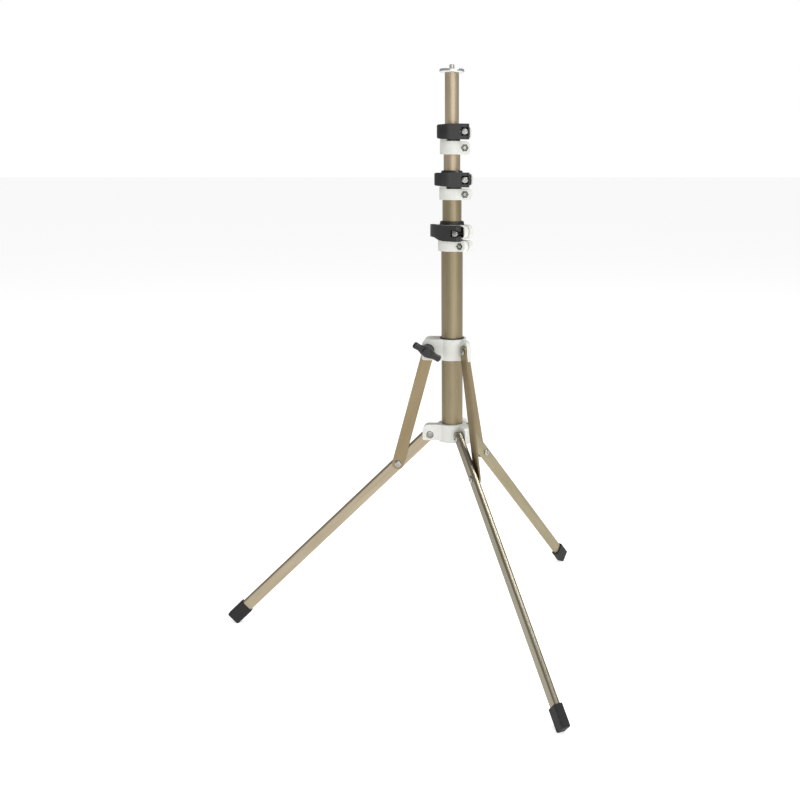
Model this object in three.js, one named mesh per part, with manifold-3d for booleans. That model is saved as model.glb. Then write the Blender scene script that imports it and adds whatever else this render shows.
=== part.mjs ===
// Compact four-section telescoping tripod stand with legs that fold up around the column.
//
// Millimetres, +Z up, floor at Z = 0. The front leg points along -Y. The origin is the centre of
// the footprint's box on the floor, so the column stands a little behind it on +Y.
//
// Two local frames are used. A leg frame has X pointing radially out along a leg, Y tangential and
// Z up, with its origin on the column's axis. A clamp frame has X pointing along a clamp's ears,
// its cam lever on the -Y side and Z up, with its origin on the axis at the clamp's lower face.
import * as THREE from 'three';
import { mergeVertices } from 'three/addons/utils/BufferGeometryUtils.js';
import Module from 'manifold-3d';

const wasm = await Module();
wasm.setup();

// ---- driving dimensions ----
const GAP = 0.3; // between neighbouring pieces
const SLIDE_GAP = 0.25; // between a tube and the sleeve that guides it
const ROUND = 24; // facets of a tube
const FINE = 10; // facets of a fastener
const ARC = 3; // facets of a rounded corner

const COLUMN_RADIUS = 12.5;
const THIRD_RADIUS = 11;
const SECOND_RADIUS = 9.5;
const TOP_RADIUS = 8;
const TUBE_WALL = 0.9;
const COLUMN_BOTTOM = 241.2;
const THIRD_BOTTOM = 279;
const SECOND_BOTTOM = 318;
const TOP_TUBE_BOTTOM = 390;
const TOP_TUBE_TOP = 665.5;
const BUSH_FLANGE = 4;
const BUSH_SPIGOT = 12;

const LEG_AZIMUTHS = { front: -90, rear: 30, left: 150 }; // degrees
const LEG_ANGLE = 45.5; // degrees from straight down, spread
const LEG_REACH = 347.4; // pivot to the end of the foot
const LEG_WIDTH = 14.5;
const LEG_THICKNESS = 7.2;
const LEG_WALL = 1;
const LEG_FACE = 0.6; // tangential place of the leg's face towards the stay
const LEG_PIVOT_RADIUS = 25.4;
const LEG_PIVOT_Z = 248;
const FOOT_LENGTH = 25;
const FOOT_WIDTH = 17.4;
const FOOT_THICKNESS = 10.2;
const FOOT_SOLE = 3;

const STAY_WIDTH = 14.2;
const STAY_THICKNESS = 2;
const STAY_FACE = 0.95; // tangential place of the stay's face towards the leg
const STAY_ATTACH = 55.5; // along the leg from its pivot
const STAY_PIVOT_RADIUS = 26.8;
const STAY_PIVOT_Z = 350.2;
const RIVET_RADIUS = 2.5;
const RIVET_HOLE = RIVET_RADIUS + GAP;
const RIVET_HEAD = 4.2;

const COLLAR_RADIUS = 17;
const LUG_REACH = 34;
const LOWER_COLLAR = { bottom: 239.5, top: 260.3, lugBottom: 241.5, lugEnd: 12.4 };
const UPPER_COLLAR = { bottom: 338, top: 362.6, lugEnd: 8.3 };
const LINER_THICKNESS = 1.1;
const ARM_INNER = 9.4; // tangential faces of the two clamping arms
const ARM_OUTER = 14;
const ARM_BOSS = 4.6;
const SCREW_RADIUS = 2.9;
const KNOB_TURN = 29.5; // degrees that the wings lean up from the leg's radial line

const EAR_SPLIT = 2.4;
const EAR_FACE = 8.8; // from the split's middle to an ear's outer face
const BOLT_RADIUS = 2;
const BOLT_HOLE = BOLT_RADIUS + GAP;
const BARREL_RADIUS = 3;
const LEVER_HEAD = 5.2; // cam radius about the barrel
const LEVER_PIVOT = EAR_FACE + GAP + LEVER_HEAD; // from the split's middle, on the lever's side

// `slot` is the height of the lever's fork, which straddles the bolt.
const CLAMPS = [
  { number: 1, outer: SECOND_RADIUS, inner: TOP_RADIUS, ring: 13.7, bolt: 14.6, ear: 22,
    bottom: 575.1, band: 15, window: 2.1, grip: 14.9, flange: 1.5, azimuth: -26,
    tip: 17, leverBottom: 16.8, leverTop: 34.2, tipBottom: 17.4, tipTop: 33.1, slot: 9.4 },
  { number: 2, outer: THIRD_RADIUS, inner: SECOND_RADIUS, ring: 14.6, bolt: 14.8, ear: 24,
    bottom: 523.9, band: 12.5, window: 3, grip: 15, flange: 2.4, azimuth: -26,
    tip: 20, leverBottom: 14.5, leverTop: 31.1, tipBottom: 16.1, tipTop: 30.7, slot: 9.4 },
  { number: 3, outer: COLUMN_RADIUS, inner: THIRD_RADIUS, ring: 16.2, bolt: 16.4, ear: 24,
    bottom: 465.3, band: 12.2, window: 2.5, grip: 15.5, flange: 4.8, azimuth: -60,
    tip: 22, leverBottom: 12, leverTop: 30, tipBottom: 16.4, tipTop: 30.6, slot: 7.8 },
];

const HEAD_RADIUS = 14;
const HEAD_TOP = 670.2;
const STUD_TIP = 675;
const STUD_RADIUS = 3.1; // a quarter-inch camera screw

// ---- materials ----
const finish = (color, roughness, metalness) =>
  new THREE.MeshStandardMaterial({ color, roughness, metalness });
const ANODISED = finish(0xa39a7c, 0.38, 0.9);
const STAY_METAL = finish(0xa08f6c, 0.42, 0.9);
const WHITE_PLASTIC = finish(0xdededa, 0.5, 0);
const BLACK_PLASTIC = finish(0x333333, 0.55, 0);
const RUBBER = finish(0x2c2c2c, 0.85, 0);
const STEEL = finish(0xb8b8b4, 0.3, 1);
const CHROME = finish(0xe4e4e2, 0.12, 1);

// ---- solids ----
// A closed three.js geometry as a manifold solid.
function solid(geometry) {
  const plain = geometry.index ? geometry.toNonIndexed() : geometry.clone();
  plain.deleteAttribute('normal');
  plain.deleteAttribute('uv');
  const merged = mergeVertices(plain, 1e-4);
  return new wasm.Manifold(new wasm.Mesh({
    numProp: 3,
    vertProperties: new Float32Array(merged.attributes.position.array),
    triVerts: new Uint32Array(merged.index.array),
  }));
}

// A manifold solid as a three.js geometry.
function surface(shape) {
  const mesh = shape.getMesh();
  const geometry = new THREE.BufferGeometry();
  geometry.setAttribute('position', new THREE.BufferAttribute(mesh.vertProperties, 3));
  geometry.setIndex(new THREE.BufferAttribute(mesh.triVerts, 1));
  geometry.computeVertexNormals();
  return geometry;
}

const joined = (shapes) => shapes.reduce((a, b) => a.add(b));
const cut = (shape, tools) => tools.reduce((a, b) => a.subtract(b), shape);

// A box between two corners.
function box(low, high) {
  const size = high.map((v, i) => v - low[i]);
  const geometry = new THREE.BoxGeometry(...size);
  geometry.translate(...low.map((v, i) => v + size[i] / 2));
  return solid(geometry);
}

// A cylinder about a vertical axis.
function post(radius, bottom, top, x = 0, y = 0, facets = ROUND) {
  const geometry = new THREE.CylinderGeometry(radius, radius, top - bottom, facets);
  geometry.rotateX(Math.PI / 2);
  geometry.translate(x, y, (bottom + top) / 2);
  return solid(geometry);
}

// A cylinder, or a hexagon with facets of 6, along Y.
function pin(radius, low, high, x = 0, z = 0, facets = FINE) {
  const geometry = new THREE.CylinderGeometry(radius, radius, high - low, facets);
  geometry.translate(x, (low + high) / 2, z);
  return solid(geometry);
}

// A profile of [radius, height] points turned about Z.
function turned(profile, facets = ROUND) {
  const geometry = new THREE.LatheGeometry(profile.map((p) => new THREE.Vector2(...p)), facets);
  geometry.rotateX(Math.PI / 2);
  return geometry;
}

// A profile of [radius, y] points turned about Y and placed at x, z.
function turnedAcross(profile, x, z) {
  const geometry = new THREE.LatheGeometry(profile.map((p) => new THREE.Vector2(...p)), FINE);
  geometry.translate(x, 0, z);
  return geometry;
}

// An outline in X and Z, extruded from y = low to y = high.
function plate(outline, low, high) {
  const geometry = new THREE.ExtrudeGeometry(outline, {
    depth: high - low, bevelEnabled: false, curveSegments: ARC,
  });
  geometry.rotateX(Math.PI / 2);
  geometry.translate(0, high, 0);
  return solid(geometry);
}

// An outline in X and Y, extruded from z = low to z = high.
function slab(outline, low, high, curveSegments = ARC) {
  const geometry = new THREE.ExtrudeGeometry(outline, {
    depth: high - low, bevelEnabled: false, curveSegments,
  });
  geometry.translate(0, 0, low);
  return solid(geometry);
}

// A rectangle whose corners at the far end of the first axis are rounded.
function tabOutline(start, end, low, high, upperRound, lowerRound = upperRound) {
  const outline = new THREE.Shape();
  outline.moveTo(start, low);
  outline.lineTo(end - lowerRound, low);
  outline.absarc(end - lowerRound, low + lowerRound, lowerRound, -Math.PI / 2, 0, false);
  outline.lineTo(end, high - upperRound);
  outline.absarc(end - upperRound, high - upperRound, upperRound, 0, Math.PI / 2, false);
  outline.lineTo(start, high);
  outline.closePath();
  return outline;
}

// A rectangle centred on the origin with all four corners rounded.
function roundedOutline(width, height, radius) {
  const [x, y] = [width / 2 - radius, height / 2 - radius];
  const outline = new THREE.Shape();
  outline.moveTo(-x, -y - radius);
  outline.lineTo(x, -y - radius);
  outline.absarc(x, -y, radius, -Math.PI / 2, 0, false);
  outline.lineTo(x + radius, y);
  outline.absarc(x, y, radius, 0, Math.PI / 2, false);
  outline.lineTo(-x, y + radius);
  outline.absarc(-x, y, radius, Math.PI / 2, Math.PI, false);
  outline.lineTo(-x - radius, -y);
  outline.absarc(-x, -y, radius, Math.PI, 1.5 * Math.PI, false);
  return outline;
}

// A bar outline along X with round ends, from -width / 2 to length + width / 2.
function barOutline(length, width) {
  const radius = width / 2;
  const outline = new THREE.Shape();
  outline.moveTo(0, -radius);
  outline.lineTo(length, -radius);
  outline.absarc(length, 0, radius, -Math.PI / 2, Math.PI / 2, false);
  outline.lineTo(0, radius);
  outline.absarc(0, 0, radius, Math.PI / 2, 1.5 * Math.PI, false);
  return outline;
}

// A rounded rectangle in Y and Z, extruded along X from start to end.
function bar(thickness, width, radius, start, end) {
  const geometry = new THREE.ExtrudeGeometry(roundedOutline(thickness, width, radius), {
    depth: end - start, bevelEnabled: false, curveSegments: ARC,
  });
  geometry.applyMatrix4(new THREE.Matrix4().set(
    0, 0, 1, start,
    1, 0, 0, 0,
    0, 1, 0, 0,
    0, 0, 0, 1,
  ));
  return solid(geometry);
}

function mesh(name, shape, material) {
  const part = new THREE.Mesh(shape.isBufferGeometry ? shape : surface(shape), material);
  part.name = name;
  return part;
}

function frame(azimuth, parts, z = 0) {
  const group = new THREE.Group();
  group.rotation.z = THREE.MathUtils.degToRad(azimuth);
  group.position.z = z;
  group.add(...parts);
  return group;
}

// ---- tubes ----
// A plain tube about the column's axis.
function tube(name, radius, bottom, top) {
  const bore = radius - TUBE_WALL;
  const profile = [[bore, bottom], [radius, bottom], [radius, top], [bore, top], [bore, bottom]];
  return mesh(name, turned(profile), ANODISED);
}

// The bush in a tube's lower end: a spigot inside the tube and a flange that runs in the next one.
function guideBush(name, radius, outerRadius, bottom) {
  const spigot = radius - TUBE_WALL - GAP;
  const flange = outerRadius - TUBE_WALL - GAP;
  const bore = spigot - 1.5;
  const shoulder = bottom - GAP;
  const profile = [
    [bore, shoulder - BUSH_FLANGE], [flange, shoulder - BUSH_FLANGE], [flange, shoulder],
    [spigot, shoulder], [spigot, bottom + BUSH_SPIGOT], [bore, bottom + BUSH_SPIGOT],
    [bore, shoulder - BUSH_FLANGE],
  ];
  return mesh(name, turned(profile), BLACK_PLASTIC);
}

// The plug that closes the column's lower end.
function columnPlug() {
  const spigot = COLUMN_RADIUS - TUBE_WALL - GAP;
  const [bottom, shoulder] = [COLUMN_BOTTOM - 1.6, COLUMN_BOTTOM - GAP];
  const top = COLUMN_BOTTOM + 9;
  const profile = [
    [0, bottom], [COLUMN_RADIUS - 0.2, bottom], [COLUMN_RADIUS - 0.2, shoulder],
    [spigot, shoulder], [spigot, top], [0, top],
  ];
  return mesh('column_end_plug', turned(profile), BLACK_PLASTIC);
}

// ---- clamps between the tubes, in the clamp frame ----
// Two split bands on one web: the lower one grips the outer tube, the upper one the sleeve.
function clampBody(c) {
  const gripBottom = c.band + c.window;
  const top = gripBottom + c.grip;
  const ears = [[0, c.band], [gripBottom, top]].map(([low, high]) =>
    plate(tabOutline(0, c.ear, low, high, 4.5), -EAR_FACE, EAR_FACE));
  const reach = c.ear + 2;
  const bandBolt = c.band / 2;
  const shape = cut(joined([post(c.ring, 0, top), ...ears]), [
    post(c.outer + GAP, -1, top + 1),
    box([0, -EAR_SPLIT / 2, -1], [reach, EAR_SPLIT / 2, top + 1]),
    box([-5, -reach, c.band], [reach, reach, gripBottom]),
    pin(BOLT_HOLE, -reach, reach, c.bolt, bandBolt),
    pin(4.3, -reach, 3 - EAR_FACE, c.bolt, bandBolt, 6),
    pin(BOLT_HOLE, -reach, reach, c.bolt, leverMiddle(c)),
    pin(4.6, EAR_FACE, reach, c.bolt, bandBolt),
    pin(4.6, EAR_FACE, reach, c.bolt, leverMiddle(c)),
  ]);
  return mesh(`clamp_${c.number}_body`, shape, WHITE_PLASTIC);
}

const leverMiddle = (c) => (c.leverBottom + c.leverTop) / 2;

// The slit sleeve that stands on the outer tube's end and closes on the inner tube.
function clampSleeve(c) {
  const bore = c.inner + SLIDE_GAP;
  const [bottom, top] = [c.band, c.band + c.window + c.grip];
  const profile = [
    [bore, bottom], [c.outer, bottom], [c.outer, top + GAP], [c.ring - 1.9, top + GAP],
    [c.ring - 1.9, top + GAP + c.flange], [bore, top + GAP + c.flange], [bore, bottom],
  ];
  const slit = box([0, -0.6, bottom - 1], [c.ear, 0.6, top + 8]);
  return mesh(`clamp_${c.number}_sleeve`, cut(solid(turned(profile)), [slit]), BLACK_PLASTIC);
}

// The lever's plan: a round cam head about the barrel and a curved handle round the ring.
function leverPlan(c) {
  const inner = c.ring + 0.5;
  const face = -LEVER_PIVOT - LEVER_HEAD;
  const outline = new THREE.Shape();
  outline.moveTo(c.bolt, face);
  outline.absarc(c.bolt, -LEVER_PIVOT, LEVER_HEAD, -Math.PI / 2, 0.75 * Math.PI, false);
  outline.absarc(0, 0, inner, -0.27 * Math.PI, -0.77 * Math.PI, true);
  outline.lineTo(-c.tip + 1, -inner * 0.52);
  outline.lineTo(-c.tip, -inner * 0.6);
  outline.bezierCurveTo(-c.tip, face * 0.86, -c.tip * 0.5, face, -c.tip * 0.1, face);
  outline.closePath();
  return outline;
}

// The lever is as tall as the grip band at its head and narrows to its tip.
function clampLever(c) {
  const side = new THREE.Shape();
  side.moveTo(-c.tip - 1, c.tipBottom);
  side.lineTo(-c.tip * 0.55, c.tipBottom - 0.6);
  side.quadraticCurveTo(-c.tip * 0.2, c.leverBottom, 2, c.leverBottom);
  side.lineTo(c.ear + 2, c.leverBottom);
  side.lineTo(c.ear + 2, c.leverTop);
  side.lineTo(0, c.leverTop);
  side.lineTo(-c.tip - 1, c.tipTop);
  side.closePath();
  const middle = leverMiddle(c);
  const plan = slab(leverPlan(c), c.leverBottom - 1, c.leverTop + 1, 9);
  const shape = cut(plan.intersect(plate(side, -2 * c.ear, 0)), [
    post(BARREL_RADIUS + GAP, 0, c.leverTop + 2, c.bolt, -LEVER_PIVOT, FINE),
    post(LEVER_HEAD + 1.4, middle - c.slot / 2, middle + c.slot / 2, c.bolt, -LEVER_PIVOT, 16),
  ]);
  return mesh(`clamp_${c.number}_lever`, shape, BLACK_PLASTIC);
}

// The cross-drilled barrel that the lever turns on.
function leverBarrel(c) {
  const shape = cut(
    post(BARREL_RADIUS, c.leverBottom + 0.6, c.leverTop - 0.6, c.bolt, -LEVER_PIVOT, FINE),
    [pin(BOLT_HOLE, -30, 0, c.bolt, leverMiddle(c))],
  );
  return mesh(`clamp_${c.number}_lever_barrel`, shape, STEEL);
}

// A bolt across the ears with a domed head at its -Y or +Y end.
function crossBolt(name, c, z, headAt, end, side) {
  const headTop = headAt + 2.2;
  const profile = [
    [0, -end], [BOLT_RADIUS, -end], [BOLT_RADIUS, headAt], [3.6, headAt],
    [3.6, headAt + 1.3], [2.7, headTop], [0, headTop],
  ];
  const geometry = turnedAcross(profile, 0, 0);
  if (side < 0) geometry.rotateX(Math.PI);
  geometry.translate(c.bolt, 0, z);
  return mesh(name, geometry, STEEL);
}

function hexNut(name, x, z, low, high, radius, bore) {
  return mesh(name, cut(pin(radius, low, high, x, z, 6), [pin(bore, low - 1, high + 1, x, z)]), STEEL);
}

// The pieces that stay with a clamp's outer tube, and its lever.
function clamp(c) {
  const middle = leverMiddle(c);
  const bandBolt = c.band / 2;
  const name = `clamp_${c.number}`;
  return frame(c.azimuth, [
    clampBody(c),
    clampSleeve(c),
    clampLever(c),
    leverBarrel(c),
    crossBolt(`${name}_lever_bolt`, c, middle, LEVER_PIVOT + 3, EAR_FACE + 3.6, -1),
    hexNut(`${name}_lever_nut`, c.bolt, middle, EAR_FACE + GAP, EAR_FACE + 3.3, 4, BOLT_HOLE),
    crossBolt(`${name}_band_bolt`, c, bandBolt, EAR_FACE + GAP, EAR_FACE + 0.4, 1),
    hexNut(`${name}_band_nut`, c.bolt, bandBolt, 0.6 - EAR_FACE, 2.7 - EAR_FACE, 3.9, BOLT_HOLE),
  ], c.bottom);
}

// ---- head ----
// A disc plugged into the top tube, and a camera screw that passes up through it.
function head() {
  const under = TOP_TUBE_TOP + GAP;
  const plug = TOP_TUBE_TOP - 8;
  const bore = STUD_RADIUS + GAP;
  const spigot = TOP_RADIUS - TUBE_WALL - GAP;
  const plateProfile = [
    [bore, plug], [spigot, plug], [spigot, under], [HEAD_RADIUS - 1, under],
    [HEAD_RADIUS, under + 1], [HEAD_RADIUS, HEAD_TOP - 1], [HEAD_RADIUS - 1, HEAD_TOP],
    [bore, HEAD_TOP], [bore, plug],
  ];
  const studProfile = [
    [0, plug - 3.3], [6, plug - 3.3], [6, plug - GAP], [STUD_RADIUS, plug - GAP],
    [STUD_RADIUS, STUD_TIP - 0.6], [STUD_RADIUS - 0.5, STUD_TIP], [0, STUD_TIP],
  ];
  return [
    mesh('head_plate', turned(plateProfile), CHROME),
    mesh('camera_stud', turned(studProfile, FINE), CHROME),
  ];
}

// ---- legs, in the leg frame ----
// A tilted group whose X axis runs down and out from a pivot, at an angle from straight down.
function hung(radius, z, angle, parts) {
  const group = new THREE.Group();
  group.position.set(radius, 0, z);
  group.rotation.y = THREE.MathUtils.degToRad(90 - angle);
  group.add(...parts);
  return group;
}

// A flat-oval tube, closed and rounded at the pivot and open under the foot.
function legShape() {
  const middle = LEG_FACE - LEG_THICKNESS / 2;
  const length = LEG_REACH - FOOT_SOLE;
  const tubeRound = LEG_THICKNESS / 2 - 0.05;
  const outline = plate(barOutline(length + LEG_WIDTH, LEG_WIDTH), -10, 10);
  const outer = bar(LEG_THICKNESS, LEG_WIDTH, tubeRound, -LEG_WIDTH, length);
  const inner = bar(LEG_THICKNESS - 2 * LEG_WALL, LEG_WIDTH - 2 * LEG_WALL,
    tubeRound - LEG_WALL, 9, length + 1);
  return cut(outer.intersect(outline), [
    inner,
    pin(RIVET_HOLE, -10, 10),
    pin(RIVET_HOLE, -10, 10, STAY_ATTACH),
  ]).translate([0, middle, 0]);
}

// The rubber foot: a boot over the leg's end, cut level where it meets the floor.
function footShape() {
  const middle = LEG_FACE - LEG_THICKNESS / 2;
  const start = LEG_REACH - FOOT_LENGTH;
  const pocketEnd = LEG_REACH - FOOT_SOLE + GAP;
  const outer = bar(FOOT_THICKNESS, FOOT_WIDTH, 2.4, start, LEG_REACH);
  const pocket = bar(LEG_THICKNESS + 2 * GAP, LEG_WIDTH + 2 * GAP, LEG_THICKNESS / 2,
    start - 1, pocketEnd);
  const floor = box([-60, -20, -60], [60, 20, 0])
    .rotate([0, LEG_ANGLE - 90, 0])
    .translate([LEG_PIVOT_Z / Math.cos(THREE.MathUtils.degToRad(LEG_ANGLE)), 0, 0]);
  return cut(outer.translate([0, middle, 0]), [pocket.translate([0, middle, 0]), floor]);
}

// A rivet along Y with a domed head below `low` and a flat tail above `high`.
function rivet(name, low, high, x, z, tail = 3.6) {
  const profile = [
    [0, low - 1.9], [2.4, low - 1.7], [RIVET_HEAD, low - 0.7], [RIVET_HEAD, low - GAP],
    [RIVET_RADIUS, low - GAP], [RIVET_RADIUS, high + GAP], [tail, high + GAP],
    [tail, high + 1.3], [0, high + 1.3],
  ];
  return mesh(name, turnedAcross(profile, x, z), STEEL);
}

// Half of the rivet between stay and leg: a domed head outside `face`, and a shank to `end`.
function halfRivet(name, face, end, x, z) {
  const out = Math.sign(face - end);
  const profile = [
    [0, face + out * 1.9], [2.4, face + out * 1.7], [RIVET_HEAD, face + out * 0.7],
    [RIVET_HEAD, face + out * GAP], [RIVET_RADIUS, face + out * GAP], [RIVET_RADIUS, end],
    [0, end],
  ];
  if (out > 0) profile.reverse();
  return mesh(name, turnedAcross(profile, x, z), STEEL);
}

function stayShape() {
  return cut(plate(barOutline(stayLength(), STAY_WIDTH), STAY_FACE, STAY_FACE + STAY_THICKNESS), [
    pin(RIVET_HOLE + 0.4, -10, 10),
    pin(RIVET_HOLE, -10, 10, stayLength()),
  ]);
}

// The stay runs from its collar pivot to its place on the leg: its offsets, length and angle.
function stayRun() {
  const angle = THREE.MathUtils.degToRad(LEG_ANGLE);
  const out = LEG_PIVOT_RADIUS + STAY_ATTACH * Math.sin(angle) - STAY_PIVOT_RADIUS;
  const down = STAY_PIVOT_Z - (LEG_PIVOT_Z - STAY_ATTACH * Math.cos(angle));
  return { out, down };
}

function stayLength() {
  const { out, down } = stayRun();
  return Math.hypot(out, down);
}

function stayAngle() {
  const { out, down } = stayRun();
  return THREE.MathUtils.radToDeg(Math.atan2(out, down));
}

function leg(name, azimuth) {
  const outerFace = LEG_FACE - LEG_THICKNESS;
  const stayOuter = STAY_FACE + STAY_THICKNESS;
  const pieces = [
    hung(LEG_PIVOT_RADIUS, LEG_PIVOT_Z, LEG_ANGLE, [
      mesh(`${name}_leg`, legShape(), ANODISED),
      mesh(`${name}_foot`, footShape(), RUBBER),
      halfRivet(`${name}_leg_rivet`, outerFace, LEG_FACE - 0.1, STAY_ATTACH, 0),
    ]),
    hung(STAY_PIVOT_RADIUS, STAY_PIVOT_Z, stayAngle(), [
      mesh(`${name}_stay`, stayShape(), STAY_METAL),
      halfRivet(`${name}_stay_rivet`, stayOuter, STAY_FACE + 0.1, stayLength(), 0),
    ]),
    rivet(`${name}_leg_pivot`, outerFace, LOWER_COLLAR.lugEnd - 4.5, LEG_PIVOT_RADIUS, LEG_PIVOT_Z),
  ];
  if (name !== 'left') {
    pieces.push(rivet(`${name}_stay_pivot`, STAY_FACE, UPPER_COLLAR.lugEnd,
      STAY_PIVOT_RADIUS, STAY_PIVOT_Z));
  }
  return frame(azimuth, pieces);
}

// ---- collars ----
const turnedTo = (shape, azimuth) => shape.rotate([0, 0, azimuth]);

// The ring under the column, with one thick lug beside each leg and a recess for its rivet.
function lowerCollar() {
  const { bottom, top, lugBottom, lugEnd } = LOWER_COLLAR;
  const shapes = [post(COLLAR_RADIUS, bottom, top)];
  const tools = [post(COLUMN_RADIUS + GAP, bottom - 1, top + 1)];
  for (const azimuth of Object.values(LEG_AZIMUTHS)) {
    const lug = plate(tabOutline(6, LUG_REACH, lugBottom, top, 7, 2), STAY_FACE, lugEnd);
    shapes.push(turnedTo(lug, azimuth));
    tools.push(
      turnedTo(pin(RIVET_HOLE, 0, lugEnd + 1, LEG_PIVOT_RADIUS, LEG_PIVOT_Z), azimuth),
      turnedTo(pin(4.6, lugEnd - 4.5, lugEnd + 1, LEG_PIVOT_RADIUS, LEG_PIVOT_Z), azimuth),
    );
  }
  return mesh('lower_collar', cut(joined(shapes), tools), WHITE_PLASTIC);
}

// The sliding ring: lugs for the front and rear stays, and on the left two arms that the knob
// draws together across a split, with the left stay between their bosses.
function upperCollar() {
  const { bottom, top, lugEnd } = UPPER_COLLAR;
  const { front, rear, left } = LEG_AZIMUTHS;
  const bore = COLUMN_RADIUS + SLIDE_GAP + LINER_THICKNESS + GAP;
  const stayOuter = STAY_FACE + STAY_THICKNESS;
  const shapes = [post(COLLAR_RADIUS, bottom, top)];
  const tools = [post(bore, bottom - 1, top + 1)];
  for (const azimuth of [front, rear]) {
    const lug = plate(tabOutline(6, LUG_REACH, bottom, top, 8, 5), stayOuter + GAP, lugEnd);
    shapes.push(turnedTo(lug, azimuth));
    const hole = pin(RIVET_HOLE, 0, lugEnd + 1, STAY_PIVOT_RADIUS, STAY_PIVOT_Z);
    tools.push(turnedTo(hole, azimuth));
  }
  const arm = tabOutline(4, LUG_REACH + 0.2, bottom, top, 7, 3);
  const clamping = [
    plate(arm, ARM_INNER, ARM_OUTER),
    plate(arm, -ARM_OUTER, -ARM_INNER),
    pin(ARM_BOSS, stayOuter + GAP, ARM_OUTER - 1, STAY_PIVOT_RADIUS, STAY_PIVOT_Z),
    pin(ARM_BOSS, 1 - ARM_OUTER, STAY_FACE - GAP, STAY_PIVOT_RADIUS, STAY_PIVOT_Z),
  ];
  shapes.push(...clamping.map((shape) => turnedTo(shape, left)));
  const opened = [
    pin(SCREW_RADIUS + GAP, -20, 20, STAY_PIVOT_RADIUS, STAY_PIVOT_Z),
    box([5, -1.5, bottom - 1], [COLLAR_RADIUS + 1, 1.5, top + 1]),
  ];
  tools.push(...opened.map((shape) => turnedTo(shape, left)));
  return mesh('upper_collar', cut(joined(shapes), tools), WHITE_PLASTIC);
}

function collarLiner() {
  const { bottom, top } = UPPER_COLLAR;
  const bore = COLUMN_RADIUS + SLIDE_GAP;
  const outer = bore + LINER_THICKNESS;
  const profile = [
    [bore, bottom + 0.5], [outer, bottom + 0.5], [outer, top + GAP], [outer + 1.2, top + GAP],
    [outer + 1.2, top + 1.6], [bore, top + 1.6], [bore, bottom + 0.5],
  ];
  return mesh('collar_liner', turned(profile), BLACK_PLASTIC);
}

// The wing knob on its screw, and the nut behind the rear arm, in the left leg's frame.
function knob() {
  const base = ARM_OUTER + GAP;
  const [neck, face] = [base + 5, base + 17];
  const hub = solid(new THREE.LatheGeometry([
    [0, base], [7.5, base], [7.5, base + 3], [6.2, neck], [6.2, face - 1.6], [4.4, face], [0, face],
  ].map((p) => new THREE.Vector2(...p)), 16));
  const wings = plate(barOutline(28.4, 7.4), face - 9, face - 1.4).translate([-14.2, 0, 0]);
  const waist = plate(barOutline(12, 10), face - 9, face - 1.4).translate([-6, 0, 0]);
  const socket = pin(SCREW_RADIUS + GAP, base - 1, base + 11);
  const shape = cut(joined([hub, wings, waist]), [socket])
    .rotate([0, -KNOB_TURN, 0])
    .translate([STAY_PIVOT_RADIUS, 0, STAY_PIVOT_Z]);
  const screw = pin(SCREW_RADIUS, -ARM_OUTER - 5.2, base + 10.6, STAY_PIVOT_RADIUS, STAY_PIVOT_Z);
  return frame(LEG_AZIMUTHS.left, [
    mesh('wing_knob', shape, BLACK_PLASTIC),
    mesh('knob_screw', screw, STEEL),
    hexNut('knob_nut', STAY_PIVOT_RADIUS, STAY_PIVOT_Z, -ARM_OUTER - 4.2, -ARM_OUTER - GAP,
      5.6, SCREW_RADIUS + GAP),
  ]);
}

// ---- assembly ----
const [CLAMP_1, CLAMP_2, CLAMP_3] = CLAMPS;
const endOf = (c) => c.bottom + c.band - GAP; // a tube ends just under its clamp's sleeve
const stand = new THREE.Group();
stand.add(
  tube('column_tube', COLUMN_RADIUS, COLUMN_BOTTOM, endOf(CLAMP_3)),
  columnPlug(),
  tube('third_tube', THIRD_RADIUS, THIRD_BOTTOM, endOf(CLAMP_2)),
  guideBush('third_tube_bush', THIRD_RADIUS, COLUMN_RADIUS, THIRD_BOTTOM),
  tube('second_tube', SECOND_RADIUS, SECOND_BOTTOM, endOf(CLAMP_1)),
  guideBush('second_tube_bush', SECOND_RADIUS, THIRD_RADIUS, SECOND_BOTTOM),
  tube('top_tube', TOP_RADIUS, TOP_TUBE_BOTTOM, TOP_TUBE_TOP),
  guideBush('top_tube_bush', TOP_RADIUS, SECOND_RADIUS, TOP_TUBE_BOTTOM),
  ...head(),
  ...CLAMPS.map(clamp),
  lowerCollar(),
  upperCollar(),
  collarLiner(),
  knob(),
  ...Object.entries(LEG_AZIMUTHS).map(([name, azimuth]) => leg(name, azimuth)),
);

// The footprint's box is centred on the origin.
const footprint = new THREE.Box3().setFromObject(stand, true);
stand.position.x = -(footprint.min.x + footprint.max.x) / 2;
stand.position.y = -(footprint.min.y + footprint.max.y) / 2;

export default stand;
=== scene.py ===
"""Looks for a compact telescoping tripod stand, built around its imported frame.

Lengths are in millimetres until a piece is placed. Two local frames are used, as in the part's
own source. A leg frame has X radially out along a leg, Y tangential and Z up from the floor. A
clamp frame has X along the clamp's ears, its lever on the -Y side and Z up from its lower face.
"""
import logging
import math
from dataclasses import dataclass, field
from enum import Enum
from typing import Callable, Optional, Sequence

import bmesh
import bpy
from mathutils import Euler, Matrix, Vector


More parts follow.
